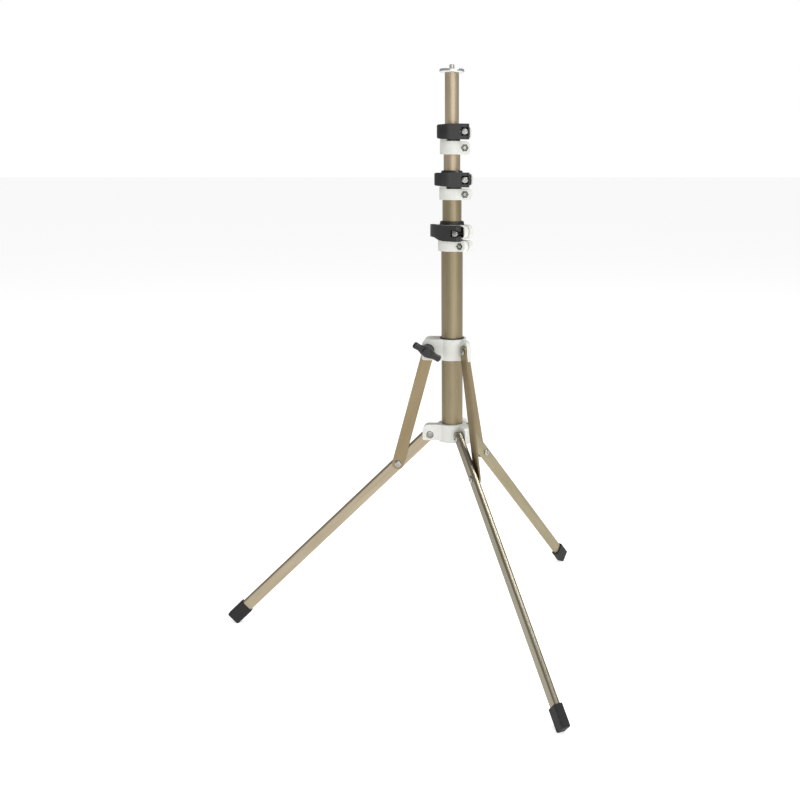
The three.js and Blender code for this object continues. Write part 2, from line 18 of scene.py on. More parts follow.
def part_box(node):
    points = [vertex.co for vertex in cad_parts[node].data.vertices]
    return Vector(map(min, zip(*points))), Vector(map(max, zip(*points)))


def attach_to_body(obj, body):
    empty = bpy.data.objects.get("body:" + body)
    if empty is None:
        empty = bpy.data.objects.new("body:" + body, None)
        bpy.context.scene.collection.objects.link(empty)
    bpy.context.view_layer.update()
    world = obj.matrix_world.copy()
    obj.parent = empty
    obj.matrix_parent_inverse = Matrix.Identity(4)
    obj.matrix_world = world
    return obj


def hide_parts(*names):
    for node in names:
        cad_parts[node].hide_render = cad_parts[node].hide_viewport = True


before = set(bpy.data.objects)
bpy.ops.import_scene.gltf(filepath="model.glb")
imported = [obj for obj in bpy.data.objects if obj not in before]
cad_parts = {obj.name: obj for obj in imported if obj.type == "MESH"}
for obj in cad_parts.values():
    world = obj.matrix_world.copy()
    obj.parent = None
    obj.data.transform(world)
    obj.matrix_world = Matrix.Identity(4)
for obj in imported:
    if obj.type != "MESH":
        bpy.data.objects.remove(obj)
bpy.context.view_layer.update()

LOG = logging.getLogger("stand")
MM = 0.001
Point = tuple[float, float]


# ---- frame of the stand ----
def node_box(node: str) -> tuple[Vector, Vector]:
    """Corners of a CAD node at rest, in millimetres."""
    low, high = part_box(node)
    return low / MM, high / MM


COLUMN_LOW, COLUMN_HIGH = node_box("column_tube")
AXIS = Vector(((COLUMN_LOW.x + COLUMN_HIGH.x) / 2, (COLUMN_LOW.y + COLUMN_HIGH.y) / 2, 0.0))
# The radius and the height of the pin that each leg, and each stay, turns on.
LEG_PIVOT: Point = (25.4, 248.0)
STAY_PIVOT: Point = (26.8, 350.2)


def about_column(azimuth: float, height: float = 0.0) -> Matrix:
    """Matrix from a local frame on the column's axis to the row frame, in metres.

    Args:
        azimuth: direction of the local X axis, in degrees.
        height: local Z = 0 above the floor, in millimetres.

    Returns:
        The local frame's matrix, with the scale to metres in it.
    """
    turn = Matrix.Rotation(math.radians(azimuth), 4, "Z")
    place = Matrix.Translation(AXIS + Vector((0.0, 0.0, height)))
    return Matrix.Scale(MM, 4) @ place @ turn


def hung(azimuth: float, radius: float, height: float, angle: float) -> Matrix:
    """Matrix of a bar hung from a pivot, with X down and out along the bar.

    Args:
        azimuth: direction of the leg, in degrees.
        radius: the pivot's distance from the column's axis, in millimetres.
        height: the pivot's height, in millimetres.
        angle: the bar's angle from straight down, in degrees.

    Returns:
        The bar frame's matrix, with the scale to metres in it.
    """
    tilt = Matrix.Rotation(math.radians(90.0 - angle), 4, "Y")
    return about_column(azimuth, height) @ Matrix.Translation((radius, 0.0, 0.0)) @ tilt


# ---- shapes ----
class Way(Enum):
    """The direction in which an outline is extruded."""

    UP = "an outline in X and Y, extruded along Z"
    ACROSS = "an outline in X and Z, extruded along Y"
    ALONG = "an outline in Y and Z, extruded along X"


class Fuse(Enum):
    """How one solid is combined with another."""

    JOIN = "UNION"
    CUT = "DIFFERENCE"
    COMMON = "INTERSECT"


def arc(centre: Point, radius: float, start: float, end: float, steps: int) -> list[Point]:
    """Points on an arc, both ends included.

    Args:
        centre: the arc's centre.
        radius: its radius.
        start: its first angle, in degrees.
        end: its last angle, in degrees.
        steps: the number of chords.

    Returns:
        The points in order.
    """
    angles = [math.radians(start + (end - start) * i / steps) for i in range(steps + 1)]
    return [(centre[0] + radius * math.cos(a), centre[1] + radius * math.sin(a)) for a in angles]


def rounded(low: Point, high: Point, radii: Sequence[float], steps: int = 8) -> list[Point]:
    """A rectangle with rounded corners.

    Args:
        low: its lowest corner.
        high: its highest corner.
        radii: the radius at each corner, anticlockwise from the lowest.
        steps: chords for each corner.

    Returns:
        The outline, anticlockwise.
    """
    corners = [(low[0], low[1], 1, 1), (high[0], low[1], -1, 1),
               (high[0], high[1], -1, -1), (low[0], high[1], 1, -1)]
    outline: list[Point] = []
    for index, ((x, y, inward_x, inward_y), radius) in enumerate(zip(corners, radii)):
        if radius <= 0.0:
            outline.append((x, y))
            continue
        centre = (x + inward_x * radius, y + inward_y * radius)
        start = 180.0 + 90.0 * index
        outline += arc(centre, radius, start, start + 90.0, steps)
    return outline


def bar_outline(length: float, width: float, steps: int = 20) -> list[Point]:
    """A bar along X with round ends centred on X = 0 and X = length.

    Args:
        length: between the centres of its ends.
        width: across it.
        steps: chords for each end.

    Returns:
        The outline.
    """
    radius = width / 2
    far_end = arc((length, 0.0), radius, -90.0, 90.0, steps)
    return far_end + arc((0.0, 0.0), radius, 90.0, 270.0, steps)


def hexagon(radius: float) -> list[Point]:
    """A hexagon about the origin, with a corner on X."""
    return arc((0.0, 0.0), radius, 0.0, 300.0, 5)


def prism(outline: Sequence[Point], low: float, high: float,
          way: Way = Way.UP) -> bmesh.types.BMesh:
    """An outline extruded between two places.

    Args:
        outline: the outline's points.
        low: where the extrusion starts.
        high: where it ends.
        way: the plane of the outline and the direction of the extrusion.

    Returns:
        The closed solid.
    """
    place: Callable[[Point, float], tuple[float, float, float]] = {
        Way.UP: lambda p, d: (p[0], p[1], d),
        Way.ACROSS: lambda p, d: (p[0], d, p[1]),
        Way.ALONG: lambda p, d: (d, p[0], p[1]),
    }[way]
    solid = bmesh.new()
    base = solid.faces.new([solid.verts.new(place(p, low)) for p in outline])
    grown = bmesh.ops.extrude_face_region(solid, geom=[base])
    lifted = [v for v in grown["geom"] if isinstance(v, bmesh.types.BMVert)]
    offset = Vector(place((0.0, 0.0), high)) - Vector(place((0.0, 0.0), low))
    bmesh.ops.translate(solid, verts=lifted, vec=offset)
    bmesh.ops.recalc_face_normals(solid, faces=solid.faces[:])
    return solid


def turned(profile: Sequence[Point], segments: int = 72, closed: bool = False) -> bmesh.types.BMesh:
    """A profile spun about Z.

    Args:
        profile: points of radius and height. An open profile starts and ends on the axis.
        segments: steps in a full turn.
        closed: True where the profile closes on itself, as a tube's wall does.

    Returns:
        The closed solid.
    """
    solid = bmesh.new()
    verts = [solid.verts.new((radius, 0.0, height)) for radius, height in profile]
    edges = [solid.edges.new(pair) for pair in zip(verts, verts[1:])]
    if closed:
        edges.append(solid.edges.new((verts[-1], verts[0])))
    bmesh.ops.spin(solid, geom=verts + edges, cent=(0, 0, 0), axis=(0, 0, 1), dvec=(0, 0, 0),
                   angle=math.tau, steps=segments, use_merge=True, use_duplicate=False)
    bmesh.ops.remove_doubles(solid, verts=solid.verts[:], dist=1e-4)
    bmesh.ops.recalc_face_normals(solid, faces=solid.faces[:])
    return solid


def round_edges(solid: bmesh.types.BMesh, chosen: Callable[[bmesh.types.BMEdge], bool],
                radius: float, segments: int = 4) -> bmesh.types.BMesh:
    """Rounds the chosen edges of a solid.

    Args:
        solid: the solid, changed in place.
        chosen: says whether an edge is rounded.
        radius: the size of the rounding.
        segments: its steps.

    Returns:
        The same solid.
    """
    edges = [edge for edge in solid.edges if chosen(edge)]
    bmesh.ops.bevel(solid, geom=edges, offset=radius, offset_type="OFFSET", affect="EDGES",
                    segments=segments, profile=0.5, material=-1, clamp_overlap=True)
    return solid


def sharper(limit: float) -> Callable[[bmesh.types.BMEdge], bool]:
    """A choice of the edges whose faces meet at more than `limit` degrees."""
    return lambda edge: edge.is_manifold and edge.calc_face_angle(0.0) > math.radians(limit)


def moved(solid: bmesh.types.BMesh, matrix: Matrix) -> bmesh.types.BMesh:
    """The solid after a transform, changed in place."""
    bmesh.ops.transform(solid, matrix=matrix, verts=solid.verts[:])
    return solid


def across(solid: bmesh.types.BMesh, x: float, z: float, flip: bool = False) -> bmesh.types.BMesh:
    """A solid turned about Z laid along Y instead.

    Args:
        solid: the solid, changed in place.
        x: where its axis crosses X.
        z: where its axis crosses Z.
        flip: True where its top points along -Y.

    Returns:
        The same solid.
    """
    turn = Matrix.Rotation(math.radians(90.0 if flip else -90.0), 4, "X")
    return moved(solid, Matrix.Translation((x, 0.0, z)) @ turn)


def pin(radius: float, low: float, high: float, x: float, z: float,
        segments: int = 32) -> bmesh.types.BMesh:
    """A plain cylinder along Y, for boring and for shanks."""
    rim = arc((x, z), radius, 0.0, 360.0 - 360.0 / segments, segments - 1)
    return prism(rim, low, high, Way.ACROSS)


def post(radius: float, low: float, high: float, x: float = 0.0, y: float = 0.0,
         segments: int = 72) -> bmesh.types.BMesh:
    """A plain cylinder along Z, for boring and for rings."""
    rim = arc((x, y), radius, 0.0, 360.0 - 360.0 / segments, segments - 1)
    return prism(rim, low, high)


def fused(solid: bmesh.types.BMesh, tools: Sequence[bmesh.types.BMesh],
          how: Fuse) -> bmesh.types.BMesh:
    """A solid combined with others, one after another.

    Args:
        solid: the solid to start from, used up.
        tools: the others, used up.
        how: join, cut or keep the common part.

    Returns:
        The result.
    """
    for tool in tools:
        pair = []
        for source in (solid, tool):
            data = bpy.data.meshes.new("fusing")
            source.to_mesh(data)
            source.free()
            thing = bpy.data.objects.new("fusing", data)
            bpy.context.scene.collection.objects.link(thing)
            pair.append(thing)
        modifier = pair[0].modifiers.new("fuse", "BOOLEAN")
        modifier.operation = how.value
        modifier.solver = "EXACT"
        modifier.object = pair[1]
        bpy.context.view_layer.update()
        made = bpy.data.meshes.new_from_object(
            pair[0].evaluated_get(bpy.context.evaluated_depsgraph_get()))
        solid = bmesh.new()
        solid.from_mesh(made)
        for data in [made] + [thing.data for thing in pair]:
            bpy.data.meshes.remove(data)
    bmesh.ops.remove_doubles(solid, verts=solid.verts[:], dist=1e-3)
    bmesh.ops.dissolve_degenerate(solid, edges=solid.edges[:], dist=1e-3)
    return solid


# ---- finishes ----
def linear(code: str) -> tuple[float, float, float, float]:
    """Turns an sRGB colour to linear light.

    Args:
        code: the colour as # and six hex digits.

    Returns:
        Linear red, green, blue and alpha.
    """
    values = [int(code[i:i + 2], 16) / 255.0 for i in (1, 3, 5)]
    low, knee, gain = 0.04045, 0.055, 12.92
    lifted = [v / gain if v <= low else ((v + knee) / (1.0 + knee)) ** 2.4 for v in values]
    return (*lifted, 1.0)


class Tree:
    """A material's node tree, with one way to add a node."""

    def __init__(self, name: str) -> None:
        """Starts a material with an empty tree.

        Args:
            name: the material's name.
        """
        self.material = bpy.data.materials.new(name)
        self.material.use_nodes = True
        self.nodes = self.material.node_tree.nodes
        self.links = self.material.node_tree.links
        self.nodes.clear()

    def add(self, kind: str, settings: Optional[dict[str, object]] = None,
            **inputs: object) -> bpy.types.Node:
        """Adds a node with its settings and links.

        Args:
            kind: the node's type.
            settings: properties of the node itself.
            **inputs: a value or an output for each socket, named with _ for a space.

        Returns:
            The node.
        """
        node = self.nodes.new(kind)
        for key, value in (settings or {}).items():
            setattr(node, key, value)
        for key, value in inputs.items():
            self.feed(node.inputs[key.replace("_", " ")], value)
        return node

    def feed(self, socket: bpy.types.NodeSocket, value: object) -> None:
        """Links an output to a socket, or sets the socket to a value."""
        if isinstance(value, bpy.types.NodeSocket):
            self.links.new(value, socket)
        else:
            socket.default_value = value

    def mapped(self, size: Sequence[float], turn: Euler = Euler((0, 0, 0))) -> bpy.types.NodeSocket:
        """Object coordinates, turned and then scaled to a pattern's own size.

        Args:
            size: the pattern's size along each axis, in millimetres.
            turn: brings a tilted piece's length onto Z before scaling.

        Returns:
            The vector output.
        """
        scale = [1 / (length * MM) for length in size]
        place = self.add("ShaderNodeTexCoord").outputs["Object"]
        laid = self.add("ShaderNodeMapping", Vector=place, Rotation=turn).outputs[0]
        return self.add("ShaderNodeMapping", Vector=laid, Scale=scale).outputs[0]

    def noise(self, vector: bpy.types.NodeSocket, detail: float = 3.0,
              roughness: float = 0.55) -> bpy.types.NodeSocket:
        """Fractal noise at a pattern's own size."""
        return self.add("ShaderNodeTexNoise", Vector=vector, Scale=1.0, Detail=detail,
                        Roughness=roughness).outputs["Fac"]

    def span(self, value: bpy.types.NodeSocket, low: float, high: float,
             start: float = 0.3, end: float = 0.7) -> bpy.types.NodeSocket:
        """A value's range from start to end spread from low to high."""
        return self.add("ShaderNodeMapRange", Value=value, From_Min=start, From_Max=end,
                        To_Min=low, To_Max=high).outputs[0]

    def blend(self, amount: bpy.types.NodeSocket, first: object,
              second: object) -> bpy.types.NodeSocket:
        """A colour between two others.

        Args:
            amount: 0 gives the first colour and 1 the second.
            first: a colour, or the output that gives it.
            second: the other one.

        Returns:
            The colour output.
        """
        # These are a Mix node's sockets when it mixes colours.
        factor, colour_a, colour_b, result = 0, 6, 7, 2
        node = self.add("ShaderNodeMix", {"data_type": "RGBA"})
        self.feed(node.inputs[factor], amount)
        self.feed(node.inputs[colour_a], first)
        self.feed(node.inputs[colour_b], second)
        return node.outputs[result]

    def bump(self, height: bpy.types.NodeSocket, strength: float,
             distance: float) -> bpy.types.NodeSocket:
        """A bump of a height pattern, its depth in millimetres."""
        return self.add("ShaderNodeBump", Height=height, Strength=strength,
                        Distance=distance * MM).outputs[0]

    def shade(self, **inputs: object) -> bpy.types.Material:
        """Ends the tree with the shader and the output.

        Args:
            **inputs: a value or an output for each of the shader's sockets.

        Returns:
            The material.
        """
        shader = self.add("ShaderNodeBsdfPrincipled", **inputs)
        self.add("ShaderNodeOutputMaterial", Surface=shader.outputs[0])
        return self.material


@dataclass(frozen=True)
class AnodisedAluminium:
    """Drawn aluminium, satin anodised champagne.

    Drawing leaves fine lines along the length, and anodising gives a soft gloss whose tone drifts
    a little from place to place. Lines of about 0.1 mm are drawn 0.5 mm wide so that they show.
    """

    name: str
    tone: str
    light: str
    roughness: float = 0.36
    turn: tuple[float, float, float] = (0.0, 0.0, 0.0)

    def make(self) -> bpy.types.Material:
        """The material, with its drawing lines along local Z."""
        tree = Tree(self.name)
        turn = Euler(self.turn)
        line_size, cloud_size, mark_size = (0.5, 0.5, 90.0), (14.0, 14.0, 60.0), (1.6, 1.6, 9.0)
        groove, bare_metal = linear("#5f5744"), linear("#d8d0bc")
        lines = tree.noise(tree.mapped(line_size, turn), 2.0)
        clouds = tree.noise(tree.mapped(cloud_size, turn), 4.0)
        marks = tree.noise(tree.mapped(mark_size, turn), 5.0, 0.7)
        tone = tree.blend(tree.span(clouds, 0.0, 1.0), linear(self.tone), linear(self.light))
        tone = tree.blend(tree.span(lines, 0.0, 0.16), tone, groove)
        scuffs = tree.span(marks, 0.0, 0.35, 0.66, 0.8)
        tone = tree.blend(scuffs, tone, bare_metal)
        gloss = tree.span(lines, self.roughness - 0.05, self.roughness + 0.07)
        return tree.shade(Base_Color=tone, Metallic=1.0, Roughness=gloss,
                          Normal=tree.bump(lines, 0.12, 0.05))


@dataclass(frozen=True)
class MouldedPlastic:
    """Injection-moulded ABS or nylon, coloured through.

    A spark-eroded mould gives an even fine grain of about 0.15 mm, drawn at 0.4 mm so that it
    shows, with slightly glossier flow patches and a trace of grime.
    """

    name: str
    tone: str
    shade: str
    roughness: float
    grain: float = 0.2

    def make(self) -> bpy.types.Material:
        """The material."""
        tree = Tree(self.name)
        grain_size, flow_size, grime_size = (0.4,) * 3, (11.0,) * 3, (1.3,) * 3
        fine = tree.noise(tree.mapped(grain_size), 2.0)
        flow = tree.noise(tree.mapped(flow_size), 4.0)
        speck = tree.noise(tree.mapped(grime_size), 5.0, 0.7)
        tone = tree.blend(tree.span(flow, 0.0, 1.0), linear(self.tone), linear(self.shade))
        tone = tree.blend(tree.span(speck, 0.0, 0.3, 0.62, 0.8), tone, linear(self.shade))
        gloss = tree.span(flow, self.roughness - 0.06, self.roughness + 0.08)
        return tree.shade(Base_Color=tone, Roughness=gloss, IOR=1.5,
                          Normal=tree.bump(fine, self.grain, 0.06))


@dataclass(frozen=True)
class MouldedRubber:
    """Black moulded rubber, matt, with a coarse skin and a dusting of grey where it is rubbed."""

    name: str
    tone: str
    worn: str

    def make(self) -> bpy.types.Material:
        """The material."""
        tree = Tree(self.name)
        skin_size, dust_size = (0.7,) * 3, (5.0,) * 3
        skin = tree.noise(tree.mapped(skin_size), 4.0, 0.65)
        dust = tree.noise(tree.mapped(dust_size), 6.0, 0.65)
        rubbed = tree.span(dust, 0.0, 0.6, 0.45, 0.8)
        tone = tree.blend(rubbed, linear(self.tone), linear(self.worn))
        return tree.shade(Base_Color=tone, Roughness=tree.span(dust, 0.62, 0.85), IOR=1.5,
                          Normal=tree.bump(skin, 0.35, 0.12))


@dataclass(frozen=True)
class PlatedSteel:
    """Steel with a bright plate: zinc on the fasteners, chrome on the head.

    Handling leaves hairline scratches about 0.05 mm wide, drawn at 0.25 mm.
    """

    name: str
    tone: str
    dull: str
    roughness: float

    def make(self) -> bpy.types.Material:
        """The material."""
        tree = Tree(self.name)
        scratch_size, patch_size = (0.25, 2.5, 0.25), (3.0,) * 3
        hair = tree.noise(tree.mapped(scratch_size), 2.0)
        patch = tree.noise(tree.mapped(patch_size), 5.0, 0.6)
        tone = tree.blend(tree.span(patch, 0.0, 1.0), linear(self.tone), linear(self.dull))
        gloss = tree.span(patch, self.roughness * 0.75, self.roughness * 1.5)
        return tree.shade(Base_Color=tone, Metallic=1.0, Roughness=gloss,
                          Normal=tree.bump(hair, 0.1, 0.03))


@dataclass
class Palette:
    """The finishes of the stand, made once each."""

    made: dict[object, bpy.types.Material] = field(default_factory=dict)

    def get(self, finish: object) -> bpy.types.Material:
        """The material of a finish, made on its first use."""
        if finish not in self.made:
            self.made[finish] = finish.make()
        return self.made[finish]


class Finish:
    """The stand's own finishes."""

    TUBE = AnodisedAluminium("anodised_aluminium_tube", "#8e8268", "#998d73", 0.44)
    SECOND_TUBE = AnodisedAluminium("anodised_aluminium_second_tube", "#b0a189", "#b9aa92", 0.42)
    TOP_TUBE = AnodisedAluminium("anodised_aluminium_top_tube", "#bdad94", "#c6b69d", 0.42)
    WHITE = MouldedPlastic("white_abs_moulded", "#e2e2dd", "#d7d7d0", 0.4, 0.12)
    BLACK = MouldedPlastic("black_nylon_moulded", "#161616", "#1f1f1e", 0.34, 0.2)
    RUBBER = MouldedRubber("black_rubber_moulded", "#181818", "#2e2e2c")
    ZINC = PlatedSteel("zinc_plated_steel", "#b9b9b4", "#94938c", 0.3)
    # Zinc painted darker for the band nuts: painted shade of the pocket that each nut sits in.
    RECESS_SHADE_STEEL = PlatedSteel("zinc_steel_painted_recess_shade", "#85857f", "#4c4b46", 0.24)
    BARREL_STEEL = PlatedSteel("blackened_steel", "#3a3a39", "#242423", 0.34)
    CHROME = PlatedSteel("chrome_plated_steel", "#e6e6e4", "#d2d2d0", 0.2)

    @staticmethod
    def bar(name: str, tone: str, light: str, frame_matrix: Matrix) -> AnodisedAluminium:
        """Anodised aluminium with its lines along a tilted bar's X axis.

        Args:
            name: the material's name.
            tone: its darker tone.
            light: its lighter tone.
            frame_matrix: the bar frame's matrix.

        Returns:
            The finish.
        """
        to_length = Matrix.Rotation(math.radians(-90.0), 4, "Y")
        turn = (to_length @ frame_matrix.to_quaternion().inverted().to_matrix().to_4x4()).to_euler()
        return AnodisedAluminium(name, tone, light, 0.38, tuple(turn))


PALETTE = Palette()


# ---- pieces ----
def dress(name: str, solid: bmesh.types.BMesh, place: Matrix, finish: object, body: str,
          stands_for: Sequence[str] = (), edge: float = 0.0,
          smooth: float = 32.0) -> bpy.types.Object:
    """Makes a solid into a finished piece that rides on a body.

    Args:
        name: the piece's name.
        solid: its shape in its local frame, used up.
        place: the local frame's matrix.
        finish: its finish.
        body: the CAD body it moves with.
        stands_for: CAD nodes that it replaces.
        edge: the width of its softened edges in millimetres, or 0 for none.
        smooth: edges that meet at less than this many degrees are shaded smooth.

    Returns:
        The piece.
    """
    data = bpy.data.meshes.new(name)
    moved(solid, place)
    solid.to_mesh(data)
    solid.free()
    data.shade_smooth()
    data.set_sharp_from_angle(angle=math.radians(smooth))
    piece = bpy.data.objects.new(name, data)
    bpy.context.scene.collection.objects.link(piece)
    data.materials.append(PALETTE.get(finish))
    if edge > 0.0:
        soften = piece.modifiers.new("soft_edges", "BEVEL")
        soften.width = edge * MM
        soften.segments = 3
        soften.limit_method = "ANGLE"
        soften.angle_limit = math.radians(smooth)
        soften.use_clamp_overlap = True
        soften.miter_outer = "MITER_ARC"
        level = piece.modifiers.new("even_shading", "WEIGHTED_NORMAL")
        level.keep_sharp = False
    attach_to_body(piece, body)
    if stands_for:
        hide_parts(*stands_for)
    LOG.info("%s on %s", name, body)
    return piece


def pan_head(reach: float, radius: float, end: float, shank: float) -> bmesh.types.BMesh:
    """A pan-head machine screw along Z with a cross recess in its head.

    Args:
        reach: where the head's underside is.
        radius: the head's radius.
        end: where the shank ends, on the other side of Z = 0.
        shank: the shank's radius.

    Returns:
        The screw.
    """
    head_height, shoulder, recess_depth = 2.3, 0.9, 1.3
    recess_long, recess_short = radius * 0.62, 0.5
    top = reach + head_height
    profile = [(0.0, end), (shank - 0.3, end), (shank, end + 0.4), (shank, reach), (radius, reach)]
    profile += arc((radius - shoulder, reach + 1.0), shoulder, 0.0, 70.0, 4)
    profile += [(radius * 0.5, top), (0.0, top + 0.05)]
    arms = [prism(rounded((-w, -h), (w, h), (0.2,) * 4, 2), top - recess_depth, top + 1.0)
            for w, h in ((recess_long, recess_short), (recess_short, recess_long))]
    return fused(turned(profile, 40), arms, Fuse.CUT)


def hex_nut(radius: float, bore: float, low: float, high: float) -> bmesh.types.BMesh:
    """A chamfered hexagon nut along Z.

    Args:
        radius: to its corners.
        bore: the radius of its hole.
        low: its lower face.
        high: its upper face.

    Returns:
        The nut.
    """
    face_radius, chamfer = radius * 0.9, 0.35
    cone = turned([(0.0, low), (face_radius, low), (radius, low + chamfer),
                   (radius, high - chamfer), (face_radius, high), (0.0, high)], 36)
    blank = fused(prism(hexagon(radius), low, high), [cone], Fuse.COMMON)
    return fused(blank, [post(bore, low - 1, high + 1, segments=24)], Fuse.CUT)


@dataclass
class Tubes:
    """The column, the three sliding tubes and the plugs that guide them."""

    wall: float = 0.9
    ease: float = 0.25

    def tube(self, node: str, finish: object, body: str) -> None:
        """One drawn tube with its ends broken, in place of its CAD node.

        Args:
            node: the CAD node.
            finish: its finish.
            body: the body it moves with.
        """
        low, high = node_box(node)
        radius, ease = (high.x - low.x) / 2, self.ease
        bore = radius - self.wall
        profile = [(bore, low.z + ease), (bore + ease, low.z), (radius - ease, low.z),
                   (radius, low.z + ease), (radius, high.z - ease), (radius - ease, high.z),
                   (bore + ease, high.z), (bore, high.z - ease)]
        dress(f"{node}_drawn", turned(profile, 96, closed=True), about_column(0.0), finish, body,
              (node,), smooth=40.0)

    def build(self) -> None:
        """Builds the four tubes and dresses the hidden plugs."""
        for node, finish, body in (("column_tube", Finish.TUBE, "column"),
                                   ("third_tube", Finish.TUBE, "third_section"),
                                   ("second_tube", Finish.SECOND_TUBE, "second_section"),
                                   ("top_tube", Finish.TOP_TUBE, "top_section")):
            self.tube(node, finish, body)
        for node in ("column_end_plug", "third_tube_bush", "second_tube_bush", "top_tube_bush"):
            cover(node, Finish.BLACK)


def cover(node: str, finish: object) -> None:
    """Gives a kept CAD node its finish.

    Args:
        node: the CAD node.
        finish: its finish.
    """
    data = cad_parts[node].data
    data.materials.clear()
    data.materials.append(PALETTE.get(finish))
    LOG.info("%s kept", node)


@dataclass
class Head:
    """The chromed disc on the top tube and the camera screw that stands out of it."""

    bore: float = 3.4
    spigot: float = 6.8
    spigot_length: float = 8.3
    rim: float = 1.5
    bolt_head: Point = (6.0, 3.0)
    crest: float = 3.1
    thread_pitch: float = 1.27
    thread_depth: float = 0.5

    def build(self) -> None:
        """Builds the disc and the screw."""
        low, high = node_box("head_plate")
        radius, top, plug = (high.x - low.x) / 2, high.z, low.z
        under = plug + self.spigot_length
        bore, spigot, rim = self.bore, self.spigot, self.rim
        disc = [(bore, plug), (spigot - 0.3, plug), (spigot, plug + 0.3), (spigot, under)]
        disc += arc((radius - rim, under + rim), rim, -90.0, 0.0, 6)
        disc += arc((radius - rim, top - rim), rim, 0.0, 90.0, 6)
        disc += [(bore + 0.4, top), (bore, top - 0.4)]
        dress("head_disc", turned(disc, 96, closed=True), about_column(0.0), Finish.CHROME,
              "top_section", ("head_plate",), smooth=40.0)
        stud_low, stud_high = node_box("camera_stud")
        base, tip = stud_low.z, stud_high.z
        crest, root, pitch = self.crest, self.crest - self.thread_depth, self.thread_pitch
        wide, thick = self.bolt_head
        profile = [(0.0, base), (wide, base), (wide, base + thick), (root, base + thick)]
        z = top - 1.0
        while z + pitch < tip - 0.7:
            profile += [(root, z), (crest, z + pitch * 0.38), (crest, z + pitch * 0.62)]
            z += pitch
        profile += [(root, z), (crest - 0.3, z + 0.4), (crest - 0.9, tip), (0.0, tip)]
        dress("camera_screw", turned(profile, 40), about_column(0.0), Finish.CHROME, "top_section",
              ("camera_stud",))


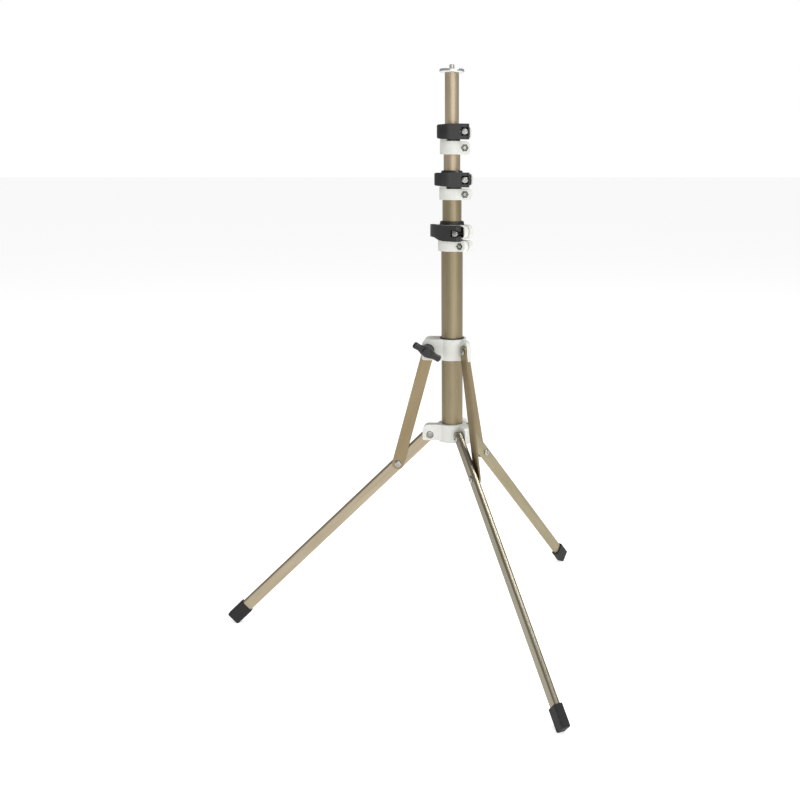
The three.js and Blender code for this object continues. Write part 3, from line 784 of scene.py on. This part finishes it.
@dataclass
class Clamp:
    """A lever clamp: a split white body, a black sleeve, a cam lever and its screws."""

    number: int
    body: str
    lever_body: str
    azimuth: float
    # Radii of the sleeve, of the tube in it and of the bands.
    outer: float
    inner: float
    ring: float
    # Distances from the axis: the bolts, the two ears' tips and the lever's tip.
    bolt: float
    ear: float
    lower_ear: float
    tip: float
    # Heights of the lower band, of the gap above it, of the upper band and of the flange.
    band: float
    window: float
    grip: float
    flange: float
    # The lever's lower and upper face at its head and at its tip, and the slot in its head.
    lever: tuple[float, float]
    tip_z: tuple[float, float]
    slot: float
    upper_round: float = 4.6
    lower_round: float = 4.6
    split: float = 1.2
    face: float = 8.8
    cam: float = 5.2
    gap: float = 0.3
    hole: float = 2.3
    seat: float = 4.6
    pocket: float = 4.5
    web: tuple[float, float] = (118.0, 242.0)
    plate: float = 1.2
    plate_margin: float = 1.6
    tip_round: float = 3.0

    @property
    def barrel_y(self) -> float:
        """Where the lever's barrel is, on the side away from the ears' split."""
        return self.face + self.gap + self.cam

    @property
    def middle(self) -> float:
        """The height of the lever's bolt."""
        return sum(self.lever) / 2

    @property
    def place(self) -> Matrix:
        """The clamp frame's matrix."""
        low, _ = node_box(f"clamp_{self.number}_body")
        return about_column(self.azimuth, low.z)

    def put(self, label: str, solid: bmesh.types.BMesh, finish: object,
            edge: float = 0.0, smooth: float = 32.0) -> None:
        """Dresses one piece in place of the CAD node with the same label.

        Args:
            label: the node's name after the clamp's.
            solid: the piece's shape, used up.
            finish: its finish.
            edge: the width of its softened edges.
            smooth: the angle below which its edges are shaded smooth.
        """
        node = f"clamp_{self.number}_{label}"
        body = self.lever_body if label == "lever" else self.body
        dress(f"{node}_piece", solid, self.place, finish, body, (node,), edge, smooth)

    def band_shape(self, low: float, high: float, ear: float, corner: float) -> bmesh.types.BMesh:
        """One split band with its two ears.

        Args:
            low: its lower face.
            high: its upper face.
            ear: how far its ears reach.
            corner: the radius at the ears' tips.

        Returns:
            The band.
        """
        bore = self.outer + self.gap
        start = math.degrees(math.asin(self.split / bore))
        join = math.degrees(math.asin(self.face / self.ring))
        outline = [(ear, self.split), (ear, self.face)]
        outline += arc((0.0, 0.0), self.ring, join, 360.0 - join, 56)
        outline += [(ear, -self.face), (ear, -self.split)]
        outline += arc((0.0, 0.0), bore, 360.0 - start, start, 64)
        band = prism(outline, low, high)

        def at_tip(edge: bmesh.types.BMEdge) -> bool:
            """Whether an edge crosses an ear's tip."""
            first, second = edge.verts
            return (min(first.co.x, second.co.x) > ear - 0.01
                    and abs(first.co.z - second.co.z) < 0.01)

        return round_edges(band, at_tip, corner, 8)

    def body_shape(self) -> bmesh.types.BMesh:
        """The two bands, the web between them and the seats for the screws."""
        base = self.band + self.window
        top = base + self.grip
        reach = self.ear + 4.0
        bore = self.outer + self.gap
        start, end = self.web
        web = arc((0.0, 0.0), self.ring - 0.25, start, end, 30)
        web += arc((0.0, 0.0), bore + 0.25, end, start, 30)
        parts = [self.band_shape(base, top, self.ear, self.upper_round),
                 prism(web, self.band - 1.0, base + 1.0)]
        whole = fused(self.band_shape(0.0, self.band, self.lower_ear, self.lower_round), parts,
                      Fuse.JOIN)
        bolt_z = self.band / 2
        nut_pocket = prism(hexagon(self.pocket), -reach, 3.0 - self.face, Way.ACROSS)
        seats = [self.slot_shade_plate_shape(0.06),
                 pin(self.hole, -reach, reach, self.bolt, bolt_z),
                 pin(self.hole, -reach, reach, self.bolt, self.middle),
                 moved(nut_pocket, Matrix.Translation((self.bolt, 0.0, bolt_z))),
                 pin(self.seat, self.face - 0.05, reach, self.bolt, bolt_z),
                 pin(self.seat, self.face - 0.05, reach, self.bolt, self.middle)]
        return fused(whole, seats, Fuse.CUT)

    def slot_shade_plate_shape(self, ease: float = 0.0) -> bmesh.types.BMesh:
        """The black plate let into the ear under the cam, a painted shade: it darkens the ear where
        the lever's slot shows it.

        Args:
            ease: how much larger its seat is.

        Returns:
            The plate.
        """
        half = self.grip / 2 - self.plate_margin + ease
        centre = self.band + self.window + self.grip / 2
        outline = rounded((self.bolt - 4.5 - ease, centre - half),
                          (self.ear - self.plate_margin + ease, centre + half), (1.5,) * 4, 5)
        plate = prism(outline, -self.face - ease, self.plate - self.face + ease, Way.ACROSS)
        if ease == 0.0:
            plate = fused(plate, [pin(self.hole, -30.0, 0.0, self.bolt, self.middle)], Fuse.CUT)
        return plate

    def sleeve_shape(self) -> bmesh.types.BMesh:
        """The black sleeve with its flange above the grip band."""
        clearance, lip, half_slit = 0.25, 0.8, 0.6
        bore = self.inner + clearance
        low, top = self.band, self.band + self.window + self.grip + self.gap
        rim, crown = self.ring - 1.9, top + self.flange
        profile = [(bore, low), (self.outer, low), (self.outer, top), (rim, top)]
        profile += arc((rim - 2 * lip, crown - lip), lip, 20.0, 90.0, 4)
        profile += [(bore + 1.2, crown), (bore, crown - 0.6)]
        slit = prism([(0.0, -half_slit), (self.ear, -half_slit), (self.ear, half_slit),
                      (0.0, half_slit)], low - 1.0, top + 9.0)
        return fused(turned(profile, 72, closed=True), [slit], Fuse.CUT)

    def lever_plan(self, steps: int) -> list[Point]:
        """The lever seen from above: the cam, the inside of the handle and its bowed outside.

        Args:
            steps: chords along the outside.

        Returns:
            The outline.
        """
        inner, tip = self.ring + 0.5, self.tip
        front = -self.barrel_y - self.cam
        plan = arc((self.bolt, -self.barrel_y), self.cam, -90.0, 135.0, 22)
        plan += arc((0.0, 0.0), inner, -48.6, -138.6, 24)
        plan += [(-tip + 1.0, -inner * 0.56), (-tip + 0.2, -inner * 0.6)]
        corners = [(-tip, -inner * 0.66), (-tip, front * 0.86), (-tip * 0.5, front),
                   (-tip * 0.1, front)]
        for step in range(1, steps + 1):
            t = step / steps
            weights = ((1 - t) ** 3, 3 * t * (1 - t) ** 2, 3 * t * t * (1 - t), t ** 3)
            plan.append((sum(w * c[0] for w, c in zip(weights, corners)),
                         sum(w * c[1] for w, c in zip(weights, corners))))
        return plan

    def lever_side(self) -> list[Point]:
        """The lever seen from its front: deep at its head, and rounded and higher at its tip."""
        low, high = self.lever
        tip_low, tip_high = self.tip_z
        end, curl, x = self.ear + 2.0, self.tip_round, 2.6 - self.tip
        side = arc((x, tip_high - curl), curl, 90.0, 180.0, 6)
        side += arc((x, tip_low + curl), curl, 180.0, 262.0, 6)
        side += [(-self.tip * 0.55, tip_low - 0.5), (-self.tip * 0.3, (tip_low + 2 * low) / 3),
                 (0.0, low + 0.1), (2.0, low), (end, low), (end, high), (0.0, high)]
        return side

    def lever_shape(self) -> bmesh.types.BMesh:
        """The cam lever: a round head about its barrel and a handle that curves round the ring."""
        low, high = self.lever
        centre = (self.bolt, -self.barrel_y)
        blank = fused(prism(self.lever_plan(12), low - 1.0, high + 1.0),
                      [prism(self.lever_side(), -60.0, 0.0, Way.ACROSS)], Fuse.COMMON)
        round_edges(blank, sharper(38.0), 1.5, 5)
        middle, half = self.middle, self.slot / 2
        eye, well, half_well, swing = 3.3, 6.7, 2.6, 7.0
        sweep = [centre] + arc(centre, swing, 74.0, 324.0, 36)
        tools = [post(eye, low - 2.0, high + 2.0, *centre, 32),
                 post(well, middle - half_well, middle + half_well, *centre, 48),
                 prism(sweep, middle - half, middle + half)]
        return fused(blank, tools, Fuse.CUT)

    def build(self) -> None:
        """Builds every piece of the clamp."""
        self.put("body", self.body_shape(), Finish.WHITE, 0.55, 34.0)
        self.put("sleeve", self.sleeve_shape(), Finish.BLACK, 0.0, 34.0)
        self.put("lever", self.lever_shape(), Finish.BLACK, 0.3, 40.0)
        # A black plate as painted shade: it darkens the ear seen through the lever's slot.
        dress(f"clamp_{self.number}_slot_shade_plate", self.slot_shade_plate_shape(), self.place, Finish.BLACK,
              self.body, (), 0.2)
        low, high = self.lever
        bolt_z, shank, head, thread = self.band / 2, 2.0, 3.6, 2.25
        barrel = fused(post(3.0, low + 0.6, high - 0.6, self.bolt, -self.barrel_y, 36),
                       [pin(self.hole, -40.0, 0.0, self.bolt, self.middle)], Fuse.CUT)
        self.put("lever_barrel", barrel, Finish.BARREL_STEEL, 0.3)
        lever_bolt = pan_head(self.barrel_y + 2.7, head, -self.face - 3.6, shank)
        self.put("lever_bolt", across(lever_bolt, self.bolt, self.middle, flip=True),
                 Finish.ZINC)
        lever_nut = hex_nut(4.0, thread, self.face + self.gap, self.face + 3.3)
        self.put("lever_nut", across(lever_nut, self.bolt, self.middle), Finish.ZINC)
        band_bolt = pan_head(self.face + self.gap, head, -self.face - 0.4, shank)
        self.put("band_bolt", across(band_bolt, self.bolt, bolt_z), Finish.ZINC)
        # The band nut's darker zinc is painted shade, standing in for the shade in its pocket.
        band_nut = hex_nut(3.8, thread, 1.3 - self.face, 2.7 - self.face)
        self.put("band_nut", across(band_nut, self.bolt, bolt_z), Finish.RECESS_SHADE_STEEL)


CLAMPS = (
    Clamp(number=1, body="second_section", lever_body="lever_1", azimuth=-26.0,
          outer=9.5, inner=8.0, ring=13.7, bolt=14.6, ear=22.0, lower_ear=20.6, tip=17.0,
          band=15.0, window=2.1, grip=14.9, flange=1.5,
          lever=(16.8, 34.2), tip_z=(17.4, 33.1), slot=9.4),
    Clamp(number=2, body="third_section", lever_body="lever_2", azimuth=-26.0,
          outer=11.0, inner=9.5, ring=14.6, bolt=14.8, ear=24.0, lower_ear=23.1, tip=20.0,
          band=12.5, window=3.0, grip=15.0, flange=2.4,
          lever=(14.5, 31.1), tip_z=(16.1, 30.7), slot=9.4),
    Clamp(number=3, body="column", lever_body="lever_3", azimuth=-60.0,
          outer=12.5, inner=11.0, ring=16.2, bolt=16.4, ear=24.0, lower_ear=23.6, tip=22.0,
          band=12.2, window=2.5, grip=15.5, flange=3.8,
          lever=(12.0, 30.0), tip_z=(16.4, 30.6), slot=7.8, upper_round=6.5, lower_round=5.0),
)


class Side(Enum):
    """The three legs and the direction of each, in degrees."""

    FRONT = -90.0
    REAR = 30.0
    LEFT = 150.0

    @property
    def lit_and_shaded_tones(self) -> tuple[str, str]:
        """The leg's darker and lighter tone, with painted light and shade: one anodised finish,
        tinted darker or lighter on each leg for how the light falls on it.
        """
        return {Side.FRONT: ("#8b8573", "#979180"), Side.REAR: ("#958b6e", "#a0967a"),
                Side.LEFT: ("#a79b84", "#b2a690")}[self]

    @property
    def word(self) -> str:
        """The leg's name in the frame."""
        return self.name.lower()


@dataclass
class Legs:
    """The flat-oval legs with their feet, stays and rivets."""

    angle: float = 45.5
    reach: float = 347.4
    width: float = 14.5
    thickness: float = 7.2
    inner_face: float = 0.6
    attach: float = 55.5
    stay_width: float = 14.2
    stay_face: float = 0.95
    stay_thickness: float = 2.0
    foot_length: float = 25.0
    foot_width: float = 17.4
    foot_thickness: float = 10.2
    foot_floor: float = 2.7
    hole: float = 2.8
    lug_face: float = 7.9
    collar_lug_face: float = 8.3

    @property
    def middle(self) -> float:
        """The tangential place of a leg's middle."""
        return self.inner_face - self.thickness / 2

    @property
    def run(self) -> Point:
        """How far a stay runs out and down from its pivot to its rivet."""
        turn = math.radians(self.angle)
        out = LEG_PIVOT[0] + self.attach * math.sin(turn) - STAY_PIVOT[0]
        down = STAY_PIVOT[1] - (LEG_PIVOT[1] - self.attach * math.cos(turn))
        return out, down

    def leg_shape(self) -> bmesh.types.BMesh:
        """A flat-oval tube pressed round at its pivot end, with holes for its rivets."""
        half_t, half_w, beyond = self.thickness / 2, self.width / 2, 10.0
        section = rounded((-half_t, -half_w), (half_t, half_w), (half_t - 0.7,) * 4, 8)
        blank = prism(section, -self.width, self.reach - 3.0, Way.ALONG)
        round_end = bar_outline(self.reach + 20.0, self.width + 0.02, 28)
        blank = fused(blank, [prism(round_end, -beyond, beyond, Way.ACROSS)], Fuse.COMMON)
        holes = [pin(self.hole, -beyond, beyond, x, 0.0) for x in (0.0, self.attach)]
        blank = fused(blank, holes, Fuse.CUT)
        return moved(blank, Matrix.Translation((0.0, self.middle, 0.0)))

    def foot_shape(self) -> bmesh.types.BMesh:
        """A plain rubber boot, cut level where it meets the floor."""
        half_t, half_w = self.foot_thickness / 2, self.foot_width / 2
        start = self.reach - self.foot_length
        section = rounded((-half_t, -half_w), (half_t, half_w), (2.0,) * 4, 5)
        boot = prism(section, start, self.reach, Way.ALONG)

        def at_end(edge: bmesh.types.BMEdge) -> bool:
            """Whether an edge is round the boot's closed end."""
            return min(vert.co.x for vert in edge.verts) > self.reach - 0.01

        def at_mouth(edge: bmesh.types.BMEdge) -> bool:
            """Whether an edge is round the boot's mouth."""
            return max(vert.co.x for vert in edge.verts) < start + 0.01

        round_edges(boot, at_end, 1.9, 5)
        round_edges(boot, at_mouth, 0.5, 2)
        slack = 0.12
        half_t, half_w = self.thickness / 2, self.width / 2
        mouth = rounded((-half_t - slack, -half_w - slack), (half_t + slack, half_w + slack),
                        (half_t - 0.6,) * 4, 8)
        pocket = prism(mouth, start - 1.0, self.reach - self.foot_floor, Way.ALONG)
        whole = fused(boot, [pocket], Fuse.CUT)
        turn = math.radians(self.angle)
        floor = post(90.0, -60.0, 0.0, segments=4)
        floor = moved(floor, Matrix.Translation((LEG_PIVOT[1] / math.cos(turn), 0.0, 0.0))
                      @ Matrix.Rotation(turn - math.pi / 2, 4, "Y"))
        whole = moved(whole, Matrix.Translation((0.0, self.middle, 0.0)))
        return fused(whole, [floor], Fuse.CUT)

    def stay_shape(self, length: float) -> bmesh.types.BMesh:
        """A flat bar with round ends and a hole at each.

        Args:
            length: between its holes.

        Returns:
            The bar.
        """
        bar = prism(bar_outline(length, self.stay_width, 28), self.stay_face,
                    self.stay_face + self.stay_thickness, Way.ACROSS)
        holes = [pin(3.15, -10.0, 10.0, 0.0, 0.0), pin(2.75, -10.0, 10.0, length, 0.0)]
        return fused(bar, holes, Fuse.CUT)

    def half_rivet(self, face: float, end: float, x: float) -> bmesh.types.BMesh:
        """A domed rivet head with a dimple, outside a face, and its shank.

        Args:
            face: the face under the head.
            end: where the shank ends.
            x: the rivet's place along the bar.

        Returns:
            The rivet.
        """
        out = 1.0 if face > end else -1.0
        length = abs(face - end)
        profile = [(0.0, -length), (2.5, -length), (2.5, 0.08), (4.0, 0.08), (4.2, 0.4)]
        profile += [(3.9, 1.0), (3.1, 1.6), (2.2, 1.85), (1.7, 1.75), (1.4, 1.2), (0.0, 1.05)]
        rivet = across(turned(profile, 36), x, 0.0, flip=out < 0)
        return moved(rivet, Matrix.Translation((0.0, face, 0.0)))

    def through_rivet(self, low: float, high: float, place: Point) -> bmesh.types.BMesh:
        """A rivet with a domed head outside its low face and a flared tail outside its high one.

        Args:
            low: the face under its head.
            high: the face under its tail.
            place: its distance from the axis, and its height.

        Returns:
            The rivet.
        """
        profile = [(0.0, high + 0.5), (1.3, high + 0.6), (1.6, high + 1.2), (3.0, high + 1.25),
                   (3.6, high + 0.8), (3.6, high + 0.08), (2.5, high + 0.08), (2.5, low - 0.08),
                   (4.1, low - 0.08), (4.2, low - 0.5), (3.9, low - 1.1), (3.1, low - 1.65),
                   (2.2, low - 1.85), (1.7, low - 1.75), (1.4, low - 1.2), (0.0, low - 1.05)]
        return across(turned(profile, 36), *place)

    def build_side(self, side: Side) -> None:
        """Builds one leg, its foot, its stay and their rivets.

        Args:
            side: which leg.
        """
        word, azimuth = side.word, side.value
        upright, leg_place = about_column(azimuth), hung(azimuth, *LEG_PIVOT, self.angle)
        out, down = self.run
        length, tilt = math.hypot(out, down), math.degrees(math.atan2(out, down))
        stay_place = hung(azimuth, *STAY_PIVOT, tilt)
        # Each leg's tones are painted light and shade: one finish, made darker or lighter per leg
        # for the light that falls on it.
        leg_finish = Finish.bar(f"anodised_aluminium_{word}_leg", *side.lit_and_shaded_tones, leg_place)
        stay_finish = Finish.bar(f"anodised_aluminium_{word}_stay", "#8e7e61", "#99896c",
                                 stay_place)
        leg_body, stay_body, steel = f"{word}_leg", f"{word}_stay", "zinc_steel"
        outer_face = self.inner_face - self.thickness
        stay_outer = self.stay_face + self.stay_thickness
        leg_rivet = self.half_rivet(outer_face, self.inner_face - 0.1, self.attach)
        stay_rivet = self.half_rivet(stay_outer, self.stay_face + 0.1, length)
        dress(f"{word}_leg_tube", self.leg_shape(), leg_place, leg_finish, leg_body,
              (f"{word}_leg",), 0.3, 34.0)
        dress(f"{word}_foot_boot", self.foot_shape(), leg_place, Finish.RUBBER, leg_body,
              (f"{word}_foot",), 0.25, 40.0)
        dress(f"{word}_leg_rivet_head", leg_rivet, leg_place, Finish.ZINC, leg_body,
              (f"{word}_leg_rivet",))
        dress(f"{word}_stay_bar", self.stay_shape(length), stay_place, stay_finish, stay_body,
              (f"{word}_stay",), 0.3, 34.0)
        dress(f"{word}_stay_rivet_head", stay_rivet, stay_place, Finish.ZINC, stay_body,
              (f"{word}_stay_rivet",))
        dress(f"{word}_leg_pivot_pin", self.through_rivet(outer_face, self.lug_face, LEG_PIVOT),
              upright, Finish.ZINC, "column", (f"{word}_leg_pivot",))
        if side is not Side.LEFT:
            pivot_pin = self.through_rivet(self.stay_face, self.collar_lug_face, STAY_PIVOT)
            dress(f"{word}_stay_pivot_pin", pivot_pin, upright, Finish.ZINC, "sliding_collar",
                  (f"{word}_stay_pivot",))

    def build(self) -> None:
        """Builds the three legs."""
        for side in Side:
            self.build_side(side)


@dataclass
class Collars:
    """The fixed lower collar, the sliding upper collar with its liner, and the wing knob."""

    ring: float = 17.0
    column: float = 12.5
    reach: float = 34.0
    leg_lug: Point = (0.95, 12.4)
    leg_lug_seat: float = 7.9
    stay_lug: Point = (3.25, 8.3)
    arm: Point = (9.4, 14.0)
    hole: float = 2.8
    boss: float = 4.6
    liner_bore: float = 12.75
    liner_wall: float = 1.1
    split: float = 1.5
    screw: float = 2.9
    lean: float = 29.5

    def turned_to(self, solid: bmesh.types.BMesh, side: Side) -> bmesh.types.BMesh:
        """A solid in a leg frame, turned to that leg's direction."""
        return moved(solid, Matrix.Rotation(math.radians(side.value), 4, "Z"))

    def lower_shape(self) -> bmesh.types.BMesh:
        """The ring at the column's foot with a lug beside each leg."""
        low, high = (corner.z for corner in node_box("lower_collar"))
        shape = post(self.ring, low, high)
        tools = [post(self.column + 0.12, low - 1.0, high + 1.0)]
        for side in Side:
            lug = prism(rounded((6.0, low + 2.0), (self.reach, high), (0.0, 2.0, 7.0, 0.0)),
                        *self.leg_lug, Way.ACROSS)
            shape = fused(shape, [self.turned_to(lug, side)], Fuse.JOIN)
            tools.append(self.turned_to(pin(self.hole, 0.0, 14.0, *LEG_PIVOT), side))
            tools.append(self.turned_to(pin(self.boss, self.leg_lug_seat, 14.0, *LEG_PIVOT), side))
        return fused(shape, tools, Fuse.CUT)

    def upper_shape(self) -> bmesh.types.BMesh:
        """The sliding ring with two lugs, and two arms about the left stay's bosses."""
        low, high = (corner.z for corner in node_box("upper_collar"))
        bore = self.liner_bore + self.liner_wall + 0.3
        shape = post(self.ring, low, high)
        for side in (Side.FRONT, Side.REAR):
            lug = prism(rounded((6.0, low), (self.reach, high), (0.0, 5.0, 8.0, 0.0)),
                        *self.stay_lug, Way.ACROSS)
            shape = fused(shape, [self.turned_to(lug, side)], Fuse.JOIN)
        arm = rounded((4.0, low), (self.reach + 0.2, high), (0.0, 3.0, 7.0, 0.0))
        inner, outer = self.arm
        near_stay, far_stay = self.stay_lug[0], 0.65
        for part in (prism(arm, inner, outer, Way.ACROSS), prism(arm, -outer, -inner, Way.ACROSS),
                     pin(self.boss, near_stay, outer - 1.0, *STAY_PIVOT),
                     pin(self.boss, 1.0 - outer, far_stay, *STAY_PIVOT)):
            shape = fused(shape, [self.turned_to(part, Side.LEFT)], Fuse.JOIN)
        tools = [post(bore, low - 1.0, high + 1.0)]
        for side in (Side.FRONT, Side.REAR):
            tools.append(self.turned_to(pin(self.hole, 0.0, 10.0, *STAY_PIVOT), side))
        screw_hole = pin(self.screw + 0.3, -20.0, 20.0, *STAY_PIVOT)
        tools.append(self.turned_to(screw_hole, Side.LEFT))
        start, end, half = 5.0, self.ring + 1.0, self.split
        split = prism([(start, -half), (end, -half), (end, half), (start, half)],
                      low - 1.0, high + 1.0)
        tools.append(self.turned_to(split, Side.LEFT))
        return fused(shape, tools, Fuse.CUT)

    def liner_shape(self) -> bmesh.types.BMesh:
        """The black liner between the sliding collar and the column."""
        low, high = (corner.z for corner in node_box("collar_liner"))
        bore = self.liner_bore
        outer = bore + self.liner_wall
        profile = [(bore, low), (outer, low), (outer, high - 1.3), (outer + 0.5, high - 1.3),
                   (outer + 0.5, high - 0.9), (outer + 0.1, high - 0.6), (bore + 0.3, high - 0.6),
                   (bore, high - 0.9)]
        return turned(profile, 80, closed=True)

    def knob_shape(self) -> bmesh.types.BMesh:
        """The two-winged knob: a domed hub, and wings that swell at their ends."""
        base = self.arm[1] + 0.3
        neck, face = base + 5.0, base + 17.0
        hub_profile = [(0.0, base), (7.2, base), (7.5, base + 0.5), (7.5, base + 2.4),
                       (6.8, base + 3.4), (6.3, neck + 0.6), (6.2, face - 3.0)]
        hub_profile += arc((3.4, face - 2.6), 2.6, 5.0, 90.0, 6) + [(0.0, face)]
        hub = across(turned(hub_profile, 48), 0.0, 0.0)
        wing = [(-17.8, -1.6), (-17.0, -3.2), (-15.2, -3.8), (-13.0, -3.5), (-10.0, -3.4),
                (-7.5, -4.3), (-5.0, -5.4), (0.0, -6.1), (5.0, -5.4), (7.5, -4.3), (10.0, -3.4),
                (13.0, -3.5), (15.2, -3.8), (17.0, -3.2), (17.8, -1.6)]
        outline = wing + [(-x, -z) for x, z in wing]
        blade = prism(outline, face - 9.4, face - 1.3, Way.ACROSS)
        round_edges(blade, sharper(50.0), 2.2, 5)
        shape = fused(hub, [blade], Fuse.JOIN)
        shape = fused(shape, [pin(self.screw + 0.3, base - 1.0, base + 11.0, 0.0, 0.0)], Fuse.CUT)
        radius, height = STAY_PIVOT
        return moved(shape, Matrix.Translation((radius, 0.0, height))
                     @ Matrix.Rotation(math.radians(-self.lean), 4, "Y"))

    def screw_shape(self) -> bmesh.types.BMesh:
        """The knob's screw, ridged where it stands out of the far arm."""
        far_face, pitch, depth = -self.arm[1], 1.0, 0.35
        low, high = far_face - 5.2, self.arm[1] + 0.3 + 10.6
        profile = [(0.0, low), (self.screw - 0.5, low), (self.screw, low + 0.5)]
        z = low + 0.9
        while z < far_face - 0.2:
            profile += [(self.screw, z), (self.screw - depth, z + 0.4), (self.screw, z + 0.8)]
            z += pitch
        return turned(profile + [(self.screw, high), (0.0, high)], 32)

    def build(self) -> None:
        """Builds the collars, the liner and the knob with its screw and nut."""
        level, left = about_column(0.0), about_column(Side.LEFT.value)
        dress("lower_collar_moulding", self.lower_shape(), level, Finish.WHITE, "column",
              ("lower_collar",), 0.6, 34.0)
        dress("upper_collar_moulding", self.upper_shape(), level, Finish.WHITE, "sliding_collar",
              ("upper_collar",), 0.6, 34.0)
        dress("collar_liner_ring", self.liner_shape(), level, Finish.BLACK, "sliding_collar",
              ("collar_liner",))
        dress("wing_knob_moulding", self.knob_shape(), left, Finish.BLACK, "knob",
              ("wing_knob",), 0.35, 40.0)
        dress("knob_screw_shank", across(self.screw_shape(), *STAY_PIVOT), left, Finish.ZINC,
              "knob", ("knob_screw",))
        nut = hex_nut(5.6, self.screw + 0.25, -self.arm[1] - 4.2, -self.arm[1] - 0.3)
        dress("knob_nut_hex", across(nut, *STAY_PIVOT), left, Finish.ZINC, "sliding_collar",
              ("knob_nut",))


# ---- studio ----
@dataclass
class Studio:
    """The camera, the pale floor and the soft lights.

    The camera's place is in millimetres from the foot of the column, and `middle`, the height that
    the lights face, is in metres.
    """

    camera_place: tuple[float, float, float] = (-514.2, -1110.1, 569.6)
    yaw: float = -28.03
    pitch: float = 9.66
    roll: float = 0.5
    lens: float = 47.41
    shift: Point = (-0.1371, -0.076)
    middle: float = 0.35
    room: float = 0.34
    glow: float = 0.62

    def camera(self) -> None:
        """Places the camera and makes it the scene's own."""
        data = bpy.data.cameras.new("camera")
        data.lens, data.sensor_width = self.lens, 36.0
        data.shift_x, data.shift_y = self.shift
        data.clip_start, data.clip_end = 0.05, 50.0
        camera = bpy.data.objects.new("camera", data)
        bpy.context.scene.collection.objects.link(camera)
        turn = (Matrix.Rotation(math.radians(self.yaw), 4, "Z")
                @ Matrix.Rotation(math.radians(90.0 - self.pitch), 4, "X")
                @ Matrix.Rotation(math.radians(self.roll), 4, "Z"))
        camera.matrix_world = Matrix.Translation((AXIS + Vector(self.camera_place)) * MM) @ turn
        bpy.context.scene.camera = camera

    def light(self, name: str, azimuth: float, elevation: float, distance: float, size: float,
              power: float) -> None:
        """A square soft light that faces the middle of the stand.

        Args:
            name: the light's name.
            azimuth: its direction from the column, in degrees from +X.
            elevation: its height angle, in degrees.
            distance: from the stand's middle, in metres.
            size: its side, in metres.
            power: in watts.
        """
        data = bpy.data.lights.new(name, "AREA")
        data.energy, data.size = power, size
        turn, lift = math.radians(azimuth), math.radians(elevation)
        level = distance * math.cos(lift)
        way = Vector((math.cos(turn) * level, math.sin(turn) * level, distance * math.sin(lift)))
        lamp = bpy.data.objects.new(name, data)
        lamp.location = Vector((0.0, 0.0, self.middle)) + way
        lamp.rotation_euler = way.to_track_quat("Z", "Y").to_euler()
        bpy.context.scene.collection.objects.link(lamp)

    def floor(self) -> None:
        """A plain pale floor."""
        plane = bmesh.new()
        bmesh.ops.create_grid(plane, x_segments=1, y_segments=1, size=30.0)
        data = bpy.data.meshes.new("studio_floor")
        plane.to_mesh(data)
        plane.free()
        floor = bpy.data.objects.new("studio_floor", data)
        floor.location.z = -0.0002
        bpy.context.scene.collection.objects.link(floor)
        tree = Tree("pale_paper_sweep")
        fibre_size = (2.5,) * 3
        fibre = tree.noise(tree.mapped(fibre_size), 4.0)
        tone = tree.blend(tree.span(fibre, 0.0, 1.0), linear("#fbfbfb"), linear("#f8f8f8"))
        paper = tree.shade(Base_Color=tone, Roughness=0.95, Emission_Color=linear("#ffffff"),
                           Emission_Strength=self.glow)
        data.materials.append(paper)

    def world(self) -> None:
        """A dim white room that the camera sees as plain white."""
        world = bpy.data.worlds.new("studio")
        world.use_nodes = True
        tree = world.node_tree
        seen = tree.nodes.new("ShaderNodeLightPath").outputs["Is Camera Ray"]
        strength = tree.nodes.new("ShaderNodeMapRange")
        strength.inputs["To Min"].default_value = self.room
        strength.inputs["To Max"].default_value = 1.0
        tree.links.new(seen, strength.inputs["Value"])
        back = tree.nodes["Background"]
        back.inputs["Color"].default_value = (1.0, 1.0, 1.0, 1.0)
        tree.links.new(strength.outputs[0], back.inputs["Strength"])
        bpy.context.scene.world = world

    def build(self) -> None:
        """Sets up the whole studio."""
        self.camera()
        self.floor()
        self.world()
        self.light("front", azimuth=264.0, elevation=20.0, distance=2.0, size=2.4, power=21.0)
        self.light("right", azimuth=325.0, elevation=57.0, distance=2.2, size=0.6, power=17.0)
        self.light("top", azimuth=80.0, elevation=78.0, distance=2.4, size=1.8, power=9.0)
        view = bpy.context.scene.view_settings
        view.view_transform = "Standard"
        view.look = "None"
        view.exposure = 0.0


def main() -> None:
    """Builds the stand and its studio."""
    logging.basicConfig(level=logging.INFO, format="%(name)s: %(message)s")
    Studio().build()
    Tubes().build()
    Head().build()
    for clamp in CLAMPS:
        clamp.build()
    Collars().build()
    Legs().build()


if __name__ == "__main__":
    main()
